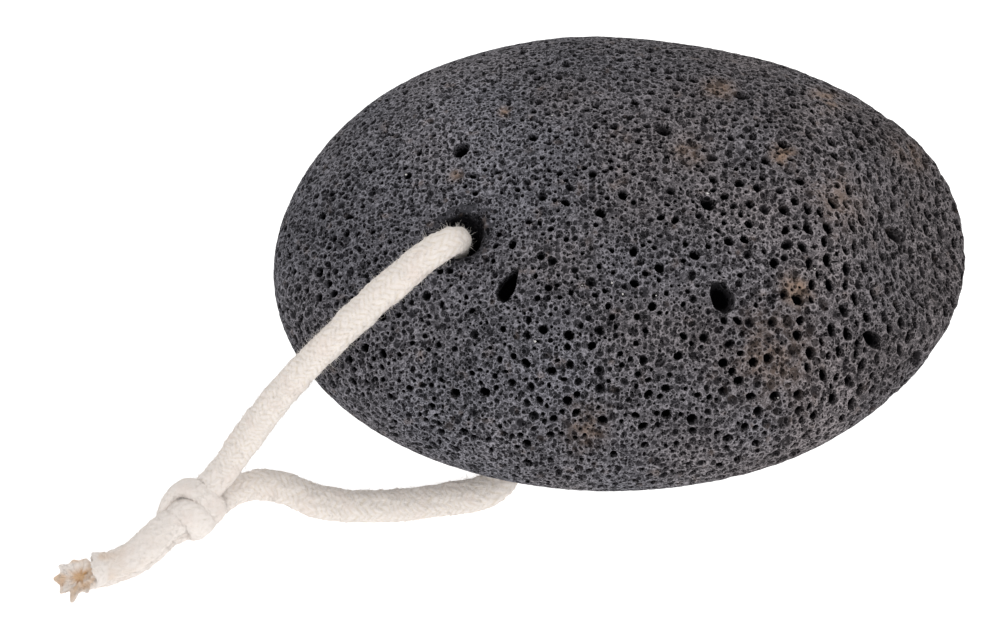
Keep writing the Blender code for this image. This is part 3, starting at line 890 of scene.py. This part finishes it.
# The largest darts are thrown first, and none lands on a mouth of the hole.
order = np.argsort(-sizes, kind="stable")
order = order[~in_mouth(try_places[order], sizes[order] * 1.06 + 0.08)]
tries, try_places, try_normals, sizes = tries[order], try_places[order], try_normals[order], sizes[order]
kept = throw_darts(try_places, sizes, held_places, held_radii)
least = np.where(try_normals[:, 2] < FACES_DOWN, LEAST_BELOW, LEAST_RADIUS)
bubble_sized = sizes >= least
is_bubble, is_grain = kept & bubble_sized, kept & ~bubble_sized
print("the slot points along", pit_long[0].round(2))
print(f"{is_bubble.sum()} bubbles and {is_grain.sum()} grains kept of {len(tries)} darts")

# %% [markdown]
# A bubble is a few rings of points round its middle. Each ring has a share of the rim's radius and a
# share of the depth. The rim is an oval, a little uneven. Shallow bubbles were cut near their bottom
# and show a grey floor; deep ones were cut across the middle and look black, with painted shade
# that grows with depth.

# %% Bowls
all_directions, all_sink, all_painted_depth_shade, all_rims, all_worn = [], [], [], [], []
point_count = 0


def add_bowls(places, normals, long_way, longs, shorts, depths, rings, uneven=0.10, egg=0.0):
    """Add the rings of many bubbles at once.

    Point = middle + share * (long cos t, short (1 - egg cos t) sin t) in the plane of the skin, taken
    back to the skin, and then sunk along the middle's own normal by the ring's share of the depth.
    """
    global point_count
    number = len(places)
    short_way = np.cross(normals, long_way)
    rim_count = rings[0][2]
    wobble = 1.0 + uneven * rng.normal(size=(number, rim_count)).clip(-1.6, 1.6)
    start_turn = rng.uniform(0.0, 2.0 * math.pi, number)
    for ring, (share, depth_share, count) in enumerate(rings):
        angle = start_turn[:, None] + (np.arange(count) + 0.5 * (ring % 2)) * (2.0 * math.pi / count)
        out = share * (wobble if count == rim_count else np.ones((number, count)))
        offset = (longs[:, None] * out * np.cos(angle))[..., None] * long_way[:, None, :]
        taper = 1.0 - np.reshape(egg, (-1, 1)) * np.cos(angle)
        offset = offset + (shorts[:, None] * out * taper * np.sin(angle))[..., None] * short_way[:, None, :]
        points = (places[:, None, :] + offset).reshape(-1, 3)
        all_directions.append(directions_to(points))
        sink = depths[:, None] * depth_share * np.ones((number, count))
        all_sink.append((-(sink[..., None]) * normals[:, None, :]).reshape(-1, 3))
        # Each point gets painted shade by its depth over the bubble's size.
        all_painted_depth_shade.append(np.clip(sink / np.sqrt(longs * shorts)[:, None], 0.0, 2.0).ravel())
        all_worn.append(np.full(number * count, float(ring == 0)))
        if ring == 0:
            ids = point_count + np.arange(number * count).reshape(number, count)
            all_rims.append(np.stack([ids, np.roll(ids, -1, axis=1)], axis=-1).reshape(-1, 2))
        point_count += number * count


# A ring: its share of the rim's radius, its share of the depth, and its number of points.
LARGE_RINGS = [
    (1.0, 0.0, 26), (0.95, 0.22, 26), (0.84, 0.52, 20), (0.62, 0.80, 14), (0.33, 0.95, 8), (0.0, 1.0, 1),
]
# The slot, which is the first pit, narrows to its upper end like a drop.
pit_eggs = np.where(np.arange(len(PITS)) == 0, 0.45, 0.12)
pit_longs, pit_shorts, pit_depths = pit_sizes.T
add_bowls(
    pit_places, pit_normals, pit_long, pit_longs, pit_shorts, pit_depths * 1.15, LARGE_RINGS, 0.045, pit_eggs
)
RIGHT_END = 25.0  # mm; beyond it the bubbles are drawn out across the stone, and more of them are deep
CLASSES = [  # least radius, rings
    (0.95, [(1.0, 0.0, 13), (0.86, 0.50, 10), (0.45, 0.95, 5)]),
    (0.66, [(1.0, 0.0, 10), (0.80, 0.60, 7), (0.30, 1.0, 3)]),
    (0.44, [(1.0, 0.0, 8), (0.62, 0.80, 4)]),
    (0.31, [(1.0, 0.0, 6), (0.30, 1.0, 3)]),
    (0.00, [(1.0, 0.0, 5), (0.0, 1.0, 1)]),
]
upper_limit = 99.0
for least, rings in CLASSES:
    chosen = is_bubble & (sizes >= least) & (sizes < upper_limit)
    upper_limit = least
    radius, normal = sizes[chosen], try_normals[chosen]
    sideways = normalised(np.cross(normal, rng.normal(size=normal.shape)))
    oval = 1.0 - 0.35 * rng.random(len(radius)) ** 1.5
    beyond = try_places[chosen][:, 0] > RIGHT_END
    drawn = normalised(np.array([-0.3, 1.0, 0.0]) + 0.30 * sideways)
    drawn = normalised(drawn - (drawn * normal).sum(1, keepdims=True) * normal)
    sideways = np.where(beyond[:, None], drawn, sideways)
    oval = np.where(beyond, np.maximum(oval * 0.72, 0.5), oval)
    cut_deep = rng.random(len(radius)) < np.where(radius < 0.33, 0.75, 0.55) + 0.25 * beyond
    deep, shallow = rng.uniform(1.0, 1.9, len(radius)), rng.uniform(0.25, 0.75, len(radius))
    depth = np.minimum(radius * np.where(cut_deep, deep, shallow), 1.7)
    add_bowls(try_places[chosen], normal, sideways, radius, radius * oval, depth, rings)
    print(f"radius over {least:.2f} mm: {chosen.sum()} bubbles")

# Grains: single points, nearly half of them small dents, which get painted shade.
grain_places, grain_normals = try_places[is_grain], try_normals[is_grain]
dent = np.where(rng.random(len(grain_places)) < 0.45, rng.uniform(0.10, 0.30, len(grain_places)), 0.0)
all_directions.append(directions_to(grain_places))
all_sink.append(-dent[:, None] * grain_normals)
all_painted_depth_shade.append(dent * 3.0)
all_worn.append(np.where(dent > 0.0, 0.0, rng.uniform(0.0, 0.4, len(dent))))
point_count += len(grain_places)

# %% [markdown]
# ## One net over the whole stone
#
# Seen from the bottom mouth of the hole, every other place on the ball can be drawn on a flat sheet
# (a stereographic map), and circles stay circles. So one flat triangulation of all the points, with
# the rims as fixed edges, gives the whole skin in one piece. The two mouths of the hole are rings of
# points, whose insides are left out, and the wall of the hole joins them.

# %% The hole's rings and wall
BORE_AROUND = 64
bore_angle = np.linspace(0.0, 2.0 * math.pi, BORE_AROUND, endpoint=False)
bore_ring = np.cos(bore_angle)[:, None] * bore_side + np.sin(bore_angle)[:, None] * bore_up


def height_of_skin(radii, top):
    """How far along the hole's axis a ring of those radii meets the skin, found by halving."""
    low, high = (np.full(BORE_AROUND, end) for end in ((18.0, 48.0) if top else (-12.0, 14.0)))
    for _ in range(40):
        middle = (low + high) / 2.0
        points = HOLE_BOTTOM + middle[:, None] * bore_axis + radii[:, None] * bore_ring
        distance = np.linalg.norm(points - STONE_MIDDLE, axis=1)
        inside = distance < np.linalg.norm(skin(directions_to(points)) - STONE_MIDDLE, axis=1)
        low = np.where(inside == top, middle, low)
        high = np.where(inside == top, high, middle)
    return (low + high) / 2.0


top_rounding, bottom_rounding = mouth_rounding(bore_angle, True), mouth_rounding(bore_angle, False)
top_height = height_of_skin(HOLE_RADIUS + top_rounding, True)
bottom_height = height_of_skin(HOLE_RADIUS + bottom_rounding, False)
quarter = np.linspace(0.0, math.pi / 2.0, 9)


def rounded_rows(rounding, height, inwards):
    """A quarter round from the skin to the wall of the hole, as rows of (radius, height)."""
    across, down = 1.0 - np.sin(quarter), 1.0 - np.cos(quarter)
    return [(HOLE_RADIUS + rounding * a, height + inwards * rounding * d) for a, d in zip(across, down)]


top_rows = rounded_rows(top_rounding, top_height, -1.0)
bottom_rows = rounded_rows(bottom_rounding, bottom_height, 1.0)[::-1]
straight = [
    (np.full(BORE_AROUND, HOLE_RADIUS), top_rows[-1][1] * (1.0 - s) + bottom_rows[0][1] * s)
    for s in np.linspace(0.0, 1.0, 42)[1:-1]
]
bore_rows = top_rows + straight + bottom_rows
bore_radius = np.array([row[0] for row in bore_rows])
bore_height = np.array([row[1] for row in bore_rows])
bore_grid = HOLE_BOTTOM + bore_height[..., None] * bore_axis + bore_radius[..., None] * bore_ring[None, :, :]
print(f"hole: {bore_height[0].mean() - bore_height[-1].mean():.1f} mm deep, {len(bore_rows)} rings")

# %% [markdown]
# The rings of the two mouths join the other points. Where the rims of two bubbles cross, the net gets
# a point of its own.

# %% Triangulate
for end in (0, -1):
    all_directions.append(directions_to(bore_grid[end]))
    all_sink.append(np.zeros((BORE_AROUND, 3)))
    all_painted_depth_shade.append(np.zeros(BORE_AROUND))
    all_worn.append(np.zeros(BORE_AROUND))
    ids = point_count + np.arange(BORE_AROUND)
    all_rims.append(np.stack([ids, np.roll(ids, -1)], axis=-1))
    point_count += BORE_AROUND
bottom_ids = point_count - BORE_AROUND + np.arange(BORE_AROUND)
top_ids = bottom_ids - BORE_AROUND
directions, sink = np.vstack(all_directions), np.vstack(all_sink)
painted_depth_shade, worn = np.concatenate(all_painted_depth_shade), np.concatenate(all_worn)

pole = directions_to(HOLE_BOTTOM[None, :])[0]
east = normalised(np.cross(pole, [0.0, 1.0, 0.0]))
north = np.cross(pole, east)
drop = 1.0 - directions @ pole
flat = np.stack([directions @ east, directions @ north], axis=1) / drop[:, None]
rims = np.vstack(all_rims)
found = delaunay_2d_cdt([Vector(p) for p in flat.tolist()], rims.tolist(), [], 0, 1e-9, False)
triangles = np.array(found[2])
# Where two rims cross, the net has a point of its own, which is taken back from the sheet to the ball.
crossings = np.array([tuple(p) for p in found[0][len(flat) :]]).reshape(-1, 2)
square = (crossings**2).sum(axis=1, keepdims=True)
back = (2.0 * (crossings @ np.stack([east, north])) + (square - 1.0) * pole) / (square + 1.0)
directions = np.vstack([directions, back])
sink = np.vstack([sink, np.zeros((len(back), 3))])
painted_depth_shade = np.concatenate([painted_depth_shade, np.zeros(len(back))])
worn = np.concatenate([worn, np.ones(len(back))])
in_a_mouth = np.isin(triangles, top_ids).all(axis=1) | np.isin(triangles, bottom_ids).all(axis=1)
triangles = triangles[~in_a_mouth]
drift = np.abs(np.array([tuple(p) for p in found[0][: len(flat)]]) - flat).max()
print(f"net: {len(flat)} points, {len(crossings)} crossings, {len(triangles)} triangles, drift {drift:.1e}")

# %% [markdown]
# Each point goes back to the skin, is sunk into its bubble, and is roughened by noise, more so on the
# right end. The resting flat stays flat. The wall of the hole joins the two mouths.

# %% Put the stone together
points = skin(directions)
normals = skin_normals(directions)[0]
roughness = 0.10 * (soft_noise(points, 0.9, 3) - 0.5) + 0.10 * (soft_noise(points, 0.45, 4) - 0.5)
coarse = 1.0 / (1.0 + np.exp(-(points[:, 0] - 30.0) / 5.0))
roughness = roughness * (1.0 + coarse) + (0.20 + 0.45 * coarse) * (soft_noise(points, 2.6, 5) - 0.5)
rests = points[:, 2] < 0.02
lowered = points + sink - (np.abs(roughness) * ~rests)[:, None] * normals
mouth_points = np.concatenate([top_ids, bottom_ids])
lowered[mouth_points] = points[mouth_points]

# The wall of the hole: its first and last rings are points of the net already.
wall_grid = bore_grid[1:-1].copy()
flat_wall = wall_grid.reshape(-1, 3)
wall_noise = 0.8 * (soft_noise(flat_wall, 1.6, 8) - 0.5) + 0.3 * (soft_noise(flat_wall, 0.8, 9) - 0.5)
depth_row = np.arange(1, len(bore_rows) - 1)
rows_from_mouth = np.minimum(depth_row, len(bore_rows) - 1 - depth_row)
fade = np.minimum(rows_from_mouth / 6.0, 1.0)
wall_grid += (wall_noise.reshape(wall_grid.shape[:2]) * fade[:, None])[..., None] * bore_ring
wall_ids = len(lowered) + np.arange(wall_grid.shape[0] * BORE_AROUND).reshape(-1, BORE_AROUND)
rows = np.vstack([top_ids, wall_ids, bottom_ids])
upper_row, lower_row = rows[:-1], rows[1:]
wall_faces = np.stack(
    [upper_row, np.roll(upper_row, -1, axis=1), np.roll(lower_row, -1, axis=1), lower_row], axis=-1
).reshape(-1, 4)


def flip_outwards(points, faces, normals):
    """Turn the triangles whose own normal points against the skin's."""
    own = np.cross(points[faces[:, 1]] - points[faces[:, 0]], points[faces[:, 2]] - points[faces[:, 0]])
    against = (own * normals[faces[:, 0]]).sum(axis=1) < 0
    return np.where(against[:, None], faces[:, ::-1], faces)


skin_triangles = flip_outwards(points, triangles, normals)
stone_points = np.vstack([lowered, wall_grid.reshape(-1, 3)])
# The wall of the hole gets painted shade: none by the mouths, and full deeper in.
hole_wall_shade = np.clip((rows_from_mouth - 3) / 6.0, 0.0, 1.0)
stone_painted_depth_shade = np.concatenate([painted_depth_shade, np.repeat(hole_wall_shade, BORE_AROUND)])
print(f"stone: {len(stone_points)} points, of which {flat_wall.shape[0]} in the wall of the hole")

# %% [markdown]
# ## Lava
#
# The rock is a vesicular basalt, dark because it cooled fast, sawn and tumbled until it was matt all
# over. The worn walls between bubbles are pale grey, and the insides of the bubbles get painted shade,
# near black where they are deep. Bubbles too small for the mesh are cells of three sizes, each with a
# bubble of its own radius, so they look like those in the mesh, and they are painted dark as shade too.
# The mesh stores where the rock gets painted shade for its depth, and where it is worn, warm, pale or
# stained, with a painted highlight on the facet's ridge.

# %% Lava


def lava_material():
    """Dark rock with a speckled, rubbed surface and pinholes painted dark as shade, and painted shade where the
    mesh says it is deep.
    """
    material, tree, shader = new_material("vesicular_basalt_tumbled", {"Roughness": 0.9})
    place = add(tree, "TexCoord", out="Object")
    painted_depth_shade_here, warmth, stain, worn_here, tone_and_ridge_highlight = (
        add(tree, "Attribute", {"attribute_name": name}, out="Fac")
        for name in ("painted_depth_shade", "warmth", "stain", "worn", "tone_and_ridge_highlight")
    )
    grit = {"Vector": place, "Scale": 1 / (0.24 * MM), "Detail": 3.0, "Roughness": 0.8}
    mottling = {"Vector": place, "Scale": 1 / (2.4 * MM), "Detail": 4.0, "Roughness": 0.65}
    grain, mottle = add(tree, "TexNoise", {}, grit), add(tree, "TexNoise", {}, mottling)
    times, plus, minus = ({"operation": name} for name in ("MULTIPLY", "MULTIPLY_ADD", "SUBTRACT"))
    colours = {"data_type": "RGBA"}

    def pinholes(size, smallest, largest):
        """Round bubbles in cells of that size in mm: how open each place is, and the rims round them.

        A cell's bubble has a radius of its own, in cells, and is cut at its own height by the skin.
        """
        distance = add(tree, "TexVoronoi", {}, {"Vector": place, "Scale": 1 / (size * MM)}, "Distance")
        chance = add(tree, "SeparateColor", {}, {"Color": distance.node.outputs["Color"]})
        radius = add(tree, "MapRange", {}, {"Value": chance, "To Min": smallest, "To Max": largest})
        inside = add(tree, "Math", minus, {0: radius, 1: distance})
        opened = add(tree, "MapRange", {}, {"Value": inside, "From Max": 0.12})
        around = add(tree, "MapRange", {}, {"Value": inside, "From Min": -0.16, "From Max": 0.0})
        return opened, add(tree, "Math", minus, {0: around, 1: opened})

    wide_open, wide_rim = pinholes(1.15, 0.15, 0.62)
    fine_open, fine_rim = pinholes(0.62, 0.10, 0.60)
    tiny_open, _ = pinholes(0.36, 0.05, 0.55)

    ground = add(tree, "MapRange", {}, {"Value": mottle, "From Min": 0.32, "From Max": 0.68})
    cool = {"Factor": ground, "A": linear("#242428"), "B": linear("#434248")}
    warm = {"Factor": ground, "A": linear("#282528"), "B": linear("#4a4547")}
    cool, warm = (add(tree, "Mix", colours, shades, "Result") for shades in (cool, warm))
    body = add(tree, "Mix", colours, {"Factor": warmth, "A": cool, "B": warm}, "Result")
    worn_pale = {"Factor": warmth, "A": linear("#aaa8b1"), "B": linear("#b1a8aa")}
    pale = add(tree, "Mix", colours, worn_pale, "Result")

    # Specks, rims and worn walls are rubbed pale.
    rims = add(tree, "Math", {"operation": "MAXIMUM"}, {0: wide_rim, 1: fine_rim})
    specks = add(tree, "MapRange", {}, {"Value": grain, "From Min": 0.30, "From Max": 0.70, "To Max": 0.6})
    rubbed = add(tree, "Math", plus, {0: rims, 1: 0.45, 2: specks})
    rubbed = add(tree, "Math", plus, {0: worn_here, 1: 0.35, 2: rubbed})
    rubbed = add(tree, "MapRange", {}, {"Value": rubbed, "From Min": 0.50, "From Max": 1.25, "To Max": 0.9})
    speckled = add(tree, "Mix", colours, {"Factor": rubbed, "A": body, "B": pale}, "Result")
    tan = add(tree, "Mix", colours, {"Factor": stain, "A": speckled, "B": linear("#9a8272")}, "Result")

    # Open pinholes and deep places get painted shade, down to near black, and a deep bubble gives back no gleam
    # either.
    pores = add(tree, "Math", times, {0: fine_open, 1: 0.80})
    pores = add(tree, "Math", plus, {0: wide_open, 1: 0.60, 2: pores})
    pores = add(tree, "Math", plus | {"use_clamp": True}, {0: tiny_open, 1: 0.50, 2: pores})
    shade = {"Value": painted_depth_shade_here, "From Min": 0.05, "From Max": 1.15, "To Min": 1.0, "To Max": 0.0}
    lit = add(tree, "Math", times, {0: add(tree, "MapRange", {}, shade), 1: tone_and_ridge_highlight})
    # Open pinholes are painted dark, as painted shade.
    pinhole_shade = add(tree, "MapRange", {}, {"Value": pores, "To Min": 1.0, "To Max": 0.12})
    lit = add(tree, "Math", times, {0: lit, 1: pinhole_shade})
    final = add(tree, "Mix", colours, {"Factor": lit, "A": linear("#030304"), "B": tan}, "Result")
    height = add(tree, "Math", plus, {0: pores, 1: -1.6, 2: grain})
    bump = add(tree, "Bump", {}, {"Height": height, "Strength": 0.9, "Distance": 0.16 * MM})
    tree.links.new(final, shader.inputs["Base Color"])
    tree.links.new(bump, shader.inputs["Normal"])
    gleam = add(tree, "Math", times, {0: lit, 1: 0.35})
    tree.links.new(gleam, shader.inputs["Specular IOR Level"])
    return material


lava = lava_material()
print("rock finish:", lava.name)

# %% [markdown]
# The mesh holds how warm, how pale and how stained the rock is at each point. These change slowly over
# the stone, but for the stains, which are small and broken up.

# %% Skin and its colours
stone = make_piece("stone_skin", stone_points, [skin_triangles, wall_faces], lava, sharp=50.0)
store(stone, "painted_depth_shade", stone_painted_depth_shade)
store(stone, "worn", np.concatenate([worn, np.zeros(wall_grid.shape[0] * BORE_AROUND)]))
warmth = 1.0 / (1.0 + np.exp(-(stone_points[:, 0] - 5.0) / 14.0))
warmth = np.clip(warmth + 0.8 * (soft_noise(stone_points, 9.0, 21) - 0.5), 0.0, 1.0)
store(stone, "warmth", warmth)


def bell(x, y, radius):
    """A bell curve of the level distance from a place."""
    return np.exp(-((stone_points[:, 0] - x) ** 2 + (stone_points[:, 1] - y) ** 2) / radius**2)


# The worn, finely foamed areas are lighter: back left and right of the middle.
tone_and_ridge_highlight = 0.79 + 0.20 * bell(-22.0, 16.0, 12.0) + 0.16 * bell(20.0, 0.0, 10.0) - 0.06 * bell(-42.0, -2.0, 10.0)
# The ridge of the facet gets a painted highlight, and the facet beyond it is a little darker.
tone_and_ridge_highlight += 0.10 * np.exp(-(((stone_points[:, 0] - 29.0) / 3.0) ** 2))
tone_and_ridge_highlight -= 0.05 / (1.0 + np.exp(33.0 - stone_points[:, 0]))
store(stone, "tone_and_ridge_highlight", np.clip(tone_and_ridge_highlight + 0.24 * (soft_noise(stone_points, 6.0, 27) - 0.5), 0.0, 1.0))
# Iron stains: x, y and radius in mm, and strength. Between them the rock keeps its grey.
STAINS = [
    (22.5, 8.9, 1.5, 1.0), (8.9, 8.7, 2.0, 0.5), (13.8, 20.5, 2.0, 0.6), (23.6, -11.2, 1.8, 0.8),
    (-5.8, -29.8, 2.2, 0.5), (20.1, -19.8, 5.0, 0.32), (29.9, 21.0, 2.4, 0.5), (41.8, 14.4, 2.4, 0.5),
    (-16.9, 15.6, 0.8, 0.8), (-23.9, 5.0, 0.8, 0.6), (30.0, 3.0, 4.0, 0.25),
]
stain = np.zeros(len(stone_points))
for x, y, radius, strength in STAINS:
    spread = np.hypot(stone_points[:, 0] - x, stone_points[:, 1] - y) / radius
    stain = np.maximum(stain, strength * np.exp(-(spread**2)) * (stone_points[:, 2] > 8.0))
broken = soft_noise(stone_points, 0.8, 23) + soft_noise(stone_points, 2.2, 24)
stain = np.clip(stain * np.clip(2.2 * broken - 1.2, 0.0, 1.6), 0.0, 1.0)
faint = 0.35 * np.clip(4.0 * (soft_noise(stone_points, 1.1, 25) - 0.78), 0.0, 1.0)
store(stone, "stain", np.maximum(stain, faint))

# %% [markdown]
# A few grains of white feldspar stand out of the dark rock, most of them between the hole and the
# large oval pit. Each is a small lopsided octahedron, half sunk in the skin.

# %% Feldspar grains
GRAIN_PLACES = [
    (-6.1, -11.5, 37.8), (-2.2, -11.5, 38.3), (-0.7, -13.0, 38.0), (-5.2, -14.2, 37.3), (4.0, -13.3, 38.0),
    (1.5, -21.5, 34.5), (-12.0, -18.0, 35.0), (12.0, 2.0, 39.5), (26.0, -8.0, 35.0), (20.0, -24.0, 29.0),
    (-30.0, 6.0, 35.0), (-10.0, 14.0, 37.0),
]
OCTAHEDRON = np.array([[1, 0, 0], [-1, 0, 0], [0, 1, 0], [0, -1, 0], [0, 0, 1], [0, 0, -1]], float)
OCTAHEDRON_FACES = np.array(
    [[0, 2, 4], [2, 1, 4], [1, 3, 4], [3, 0, 4], [2, 0, 5], [1, 2, 5], [3, 1, 5], [0, 3, 5]],
)
grain_ways = directions_to(np.array(GRAIN_PLACES))
grain_middles = skin(grain_ways)
count = len(grain_middles)
grain_sizes = rng.uniform(0.10, 0.24, (count, 1, 1)) * rng.uniform(0.6, 1.3, (count, 6, 1))
grain_ups = [Vector(way) for way in rng.normal(size=(count, 3)).tolist()]
grain_turns = np.array([way.to_track_quat("Z", "Y").to_matrix() for way in grain_ups])
grain_points = grain_middles[:, None, :] + grain_sizes * np.einsum("pj,gij->gpi", OCTAHEDRON, grain_turns)
grain_faces = (OCTAHEDRON_FACES[None] + 6 * np.arange(count)[:, None, None]).reshape(-1, 3)
white, *_ = new_material("white_feldspar_grains", {"Base Color": linear("#cfccc8"), "Roughness": 0.4})
feldspar = make_piece("feldspar_grains", grain_points.reshape(-1, 3), [grain_faces], white, sharp=20.0)

# %% [markdown]
# ## What each piece stands for
#
# Nothing on the object turns or slides, so every piece rides on the one body. Each piece takes the
# place of its solid in the imported model. The cord is limp, and the knot, the free ends and the
# loose fibres stay with its two strands.

# %% Ride and replace
on_the_cords = [
    upper_core, lower_core, upper_tail, lower_tail, knot_band, knot_turn, upper_fibres, lower_fibres,
]
for piece in (stone, feldspar, upper_cord, lower_cord, *on_the_cords):
    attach(piece, "root")
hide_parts("stone")
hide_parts("cord_upper")
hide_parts("cord_lower")
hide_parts("knot")
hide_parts("tail_upper")
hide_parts("tail_lower")

print(len(on_the_cords) + 4, "pieces ride on the body")

# %% [markdown]
# ## Floor, light and background
#
# The object lies on white paper, in the even light of a studio. The paper gives off a little light of
# its own, as a lit backdrop does, so that it stays white under the stone. One large soft light in
# front and above gives the bubbles a dark side.

# %% Floor, light and background
scene = bpy.context.scene
scene.view_settings.view_transform = "Standard"
floor_mesh = bpy.data.meshes.new("floor")
reach = 1.5  # m each way
corners = [(-reach, -reach, 0), (reach, -reach, 0), (reach, reach, 0), (-reach, reach, 0)]
floor_mesh.from_pydata(corners, [], [(0, 1, 2, 3)])
floor_piece = bpy.data.objects.new("floor", floor_mesh)
scene.collection.objects.link(floor_piece)
WHITE = (1.0, 1.0, 1.0, 1.0)
paper, *_ = new_material("matt_white_paper", {
    "Base Color": linear("#dcdcdc"), "Roughness": 0.9, "Specular IOR Level": 0.1,
    "Emission Color": WHITE, "Emission Strength": 0.75,
})
floor_mesh.materials.append(paper)

world = bpy.data.worlds.new("studio")
scene.world = world
world.use_nodes = True
world.node_tree.nodes["Background"].inputs["Color"].default_value = WHITE
world.node_tree.nodes["Background"].inputs["Strength"].default_value = 0.75

KEY_PLACE, KEY_AIM = Vector((40.0, -300.0, 540.0)), Vector((0.0, 0.0, 15.0))  # mm
key = bpy.data.objects.new("key_light", bpy.data.lights.new("key_light", "AREA"))
key.data.size = 420.0 * MM
key.data.energy = 1.9
key.location = KEY_PLACE * MM
key.rotation_euler = (KEY_AIM - KEY_PLACE).to_track_quat("-Z", "Y").to_euler()
scene.collection.objects.link(key)
print("key light at", [round(v, 2) for v in key.location])
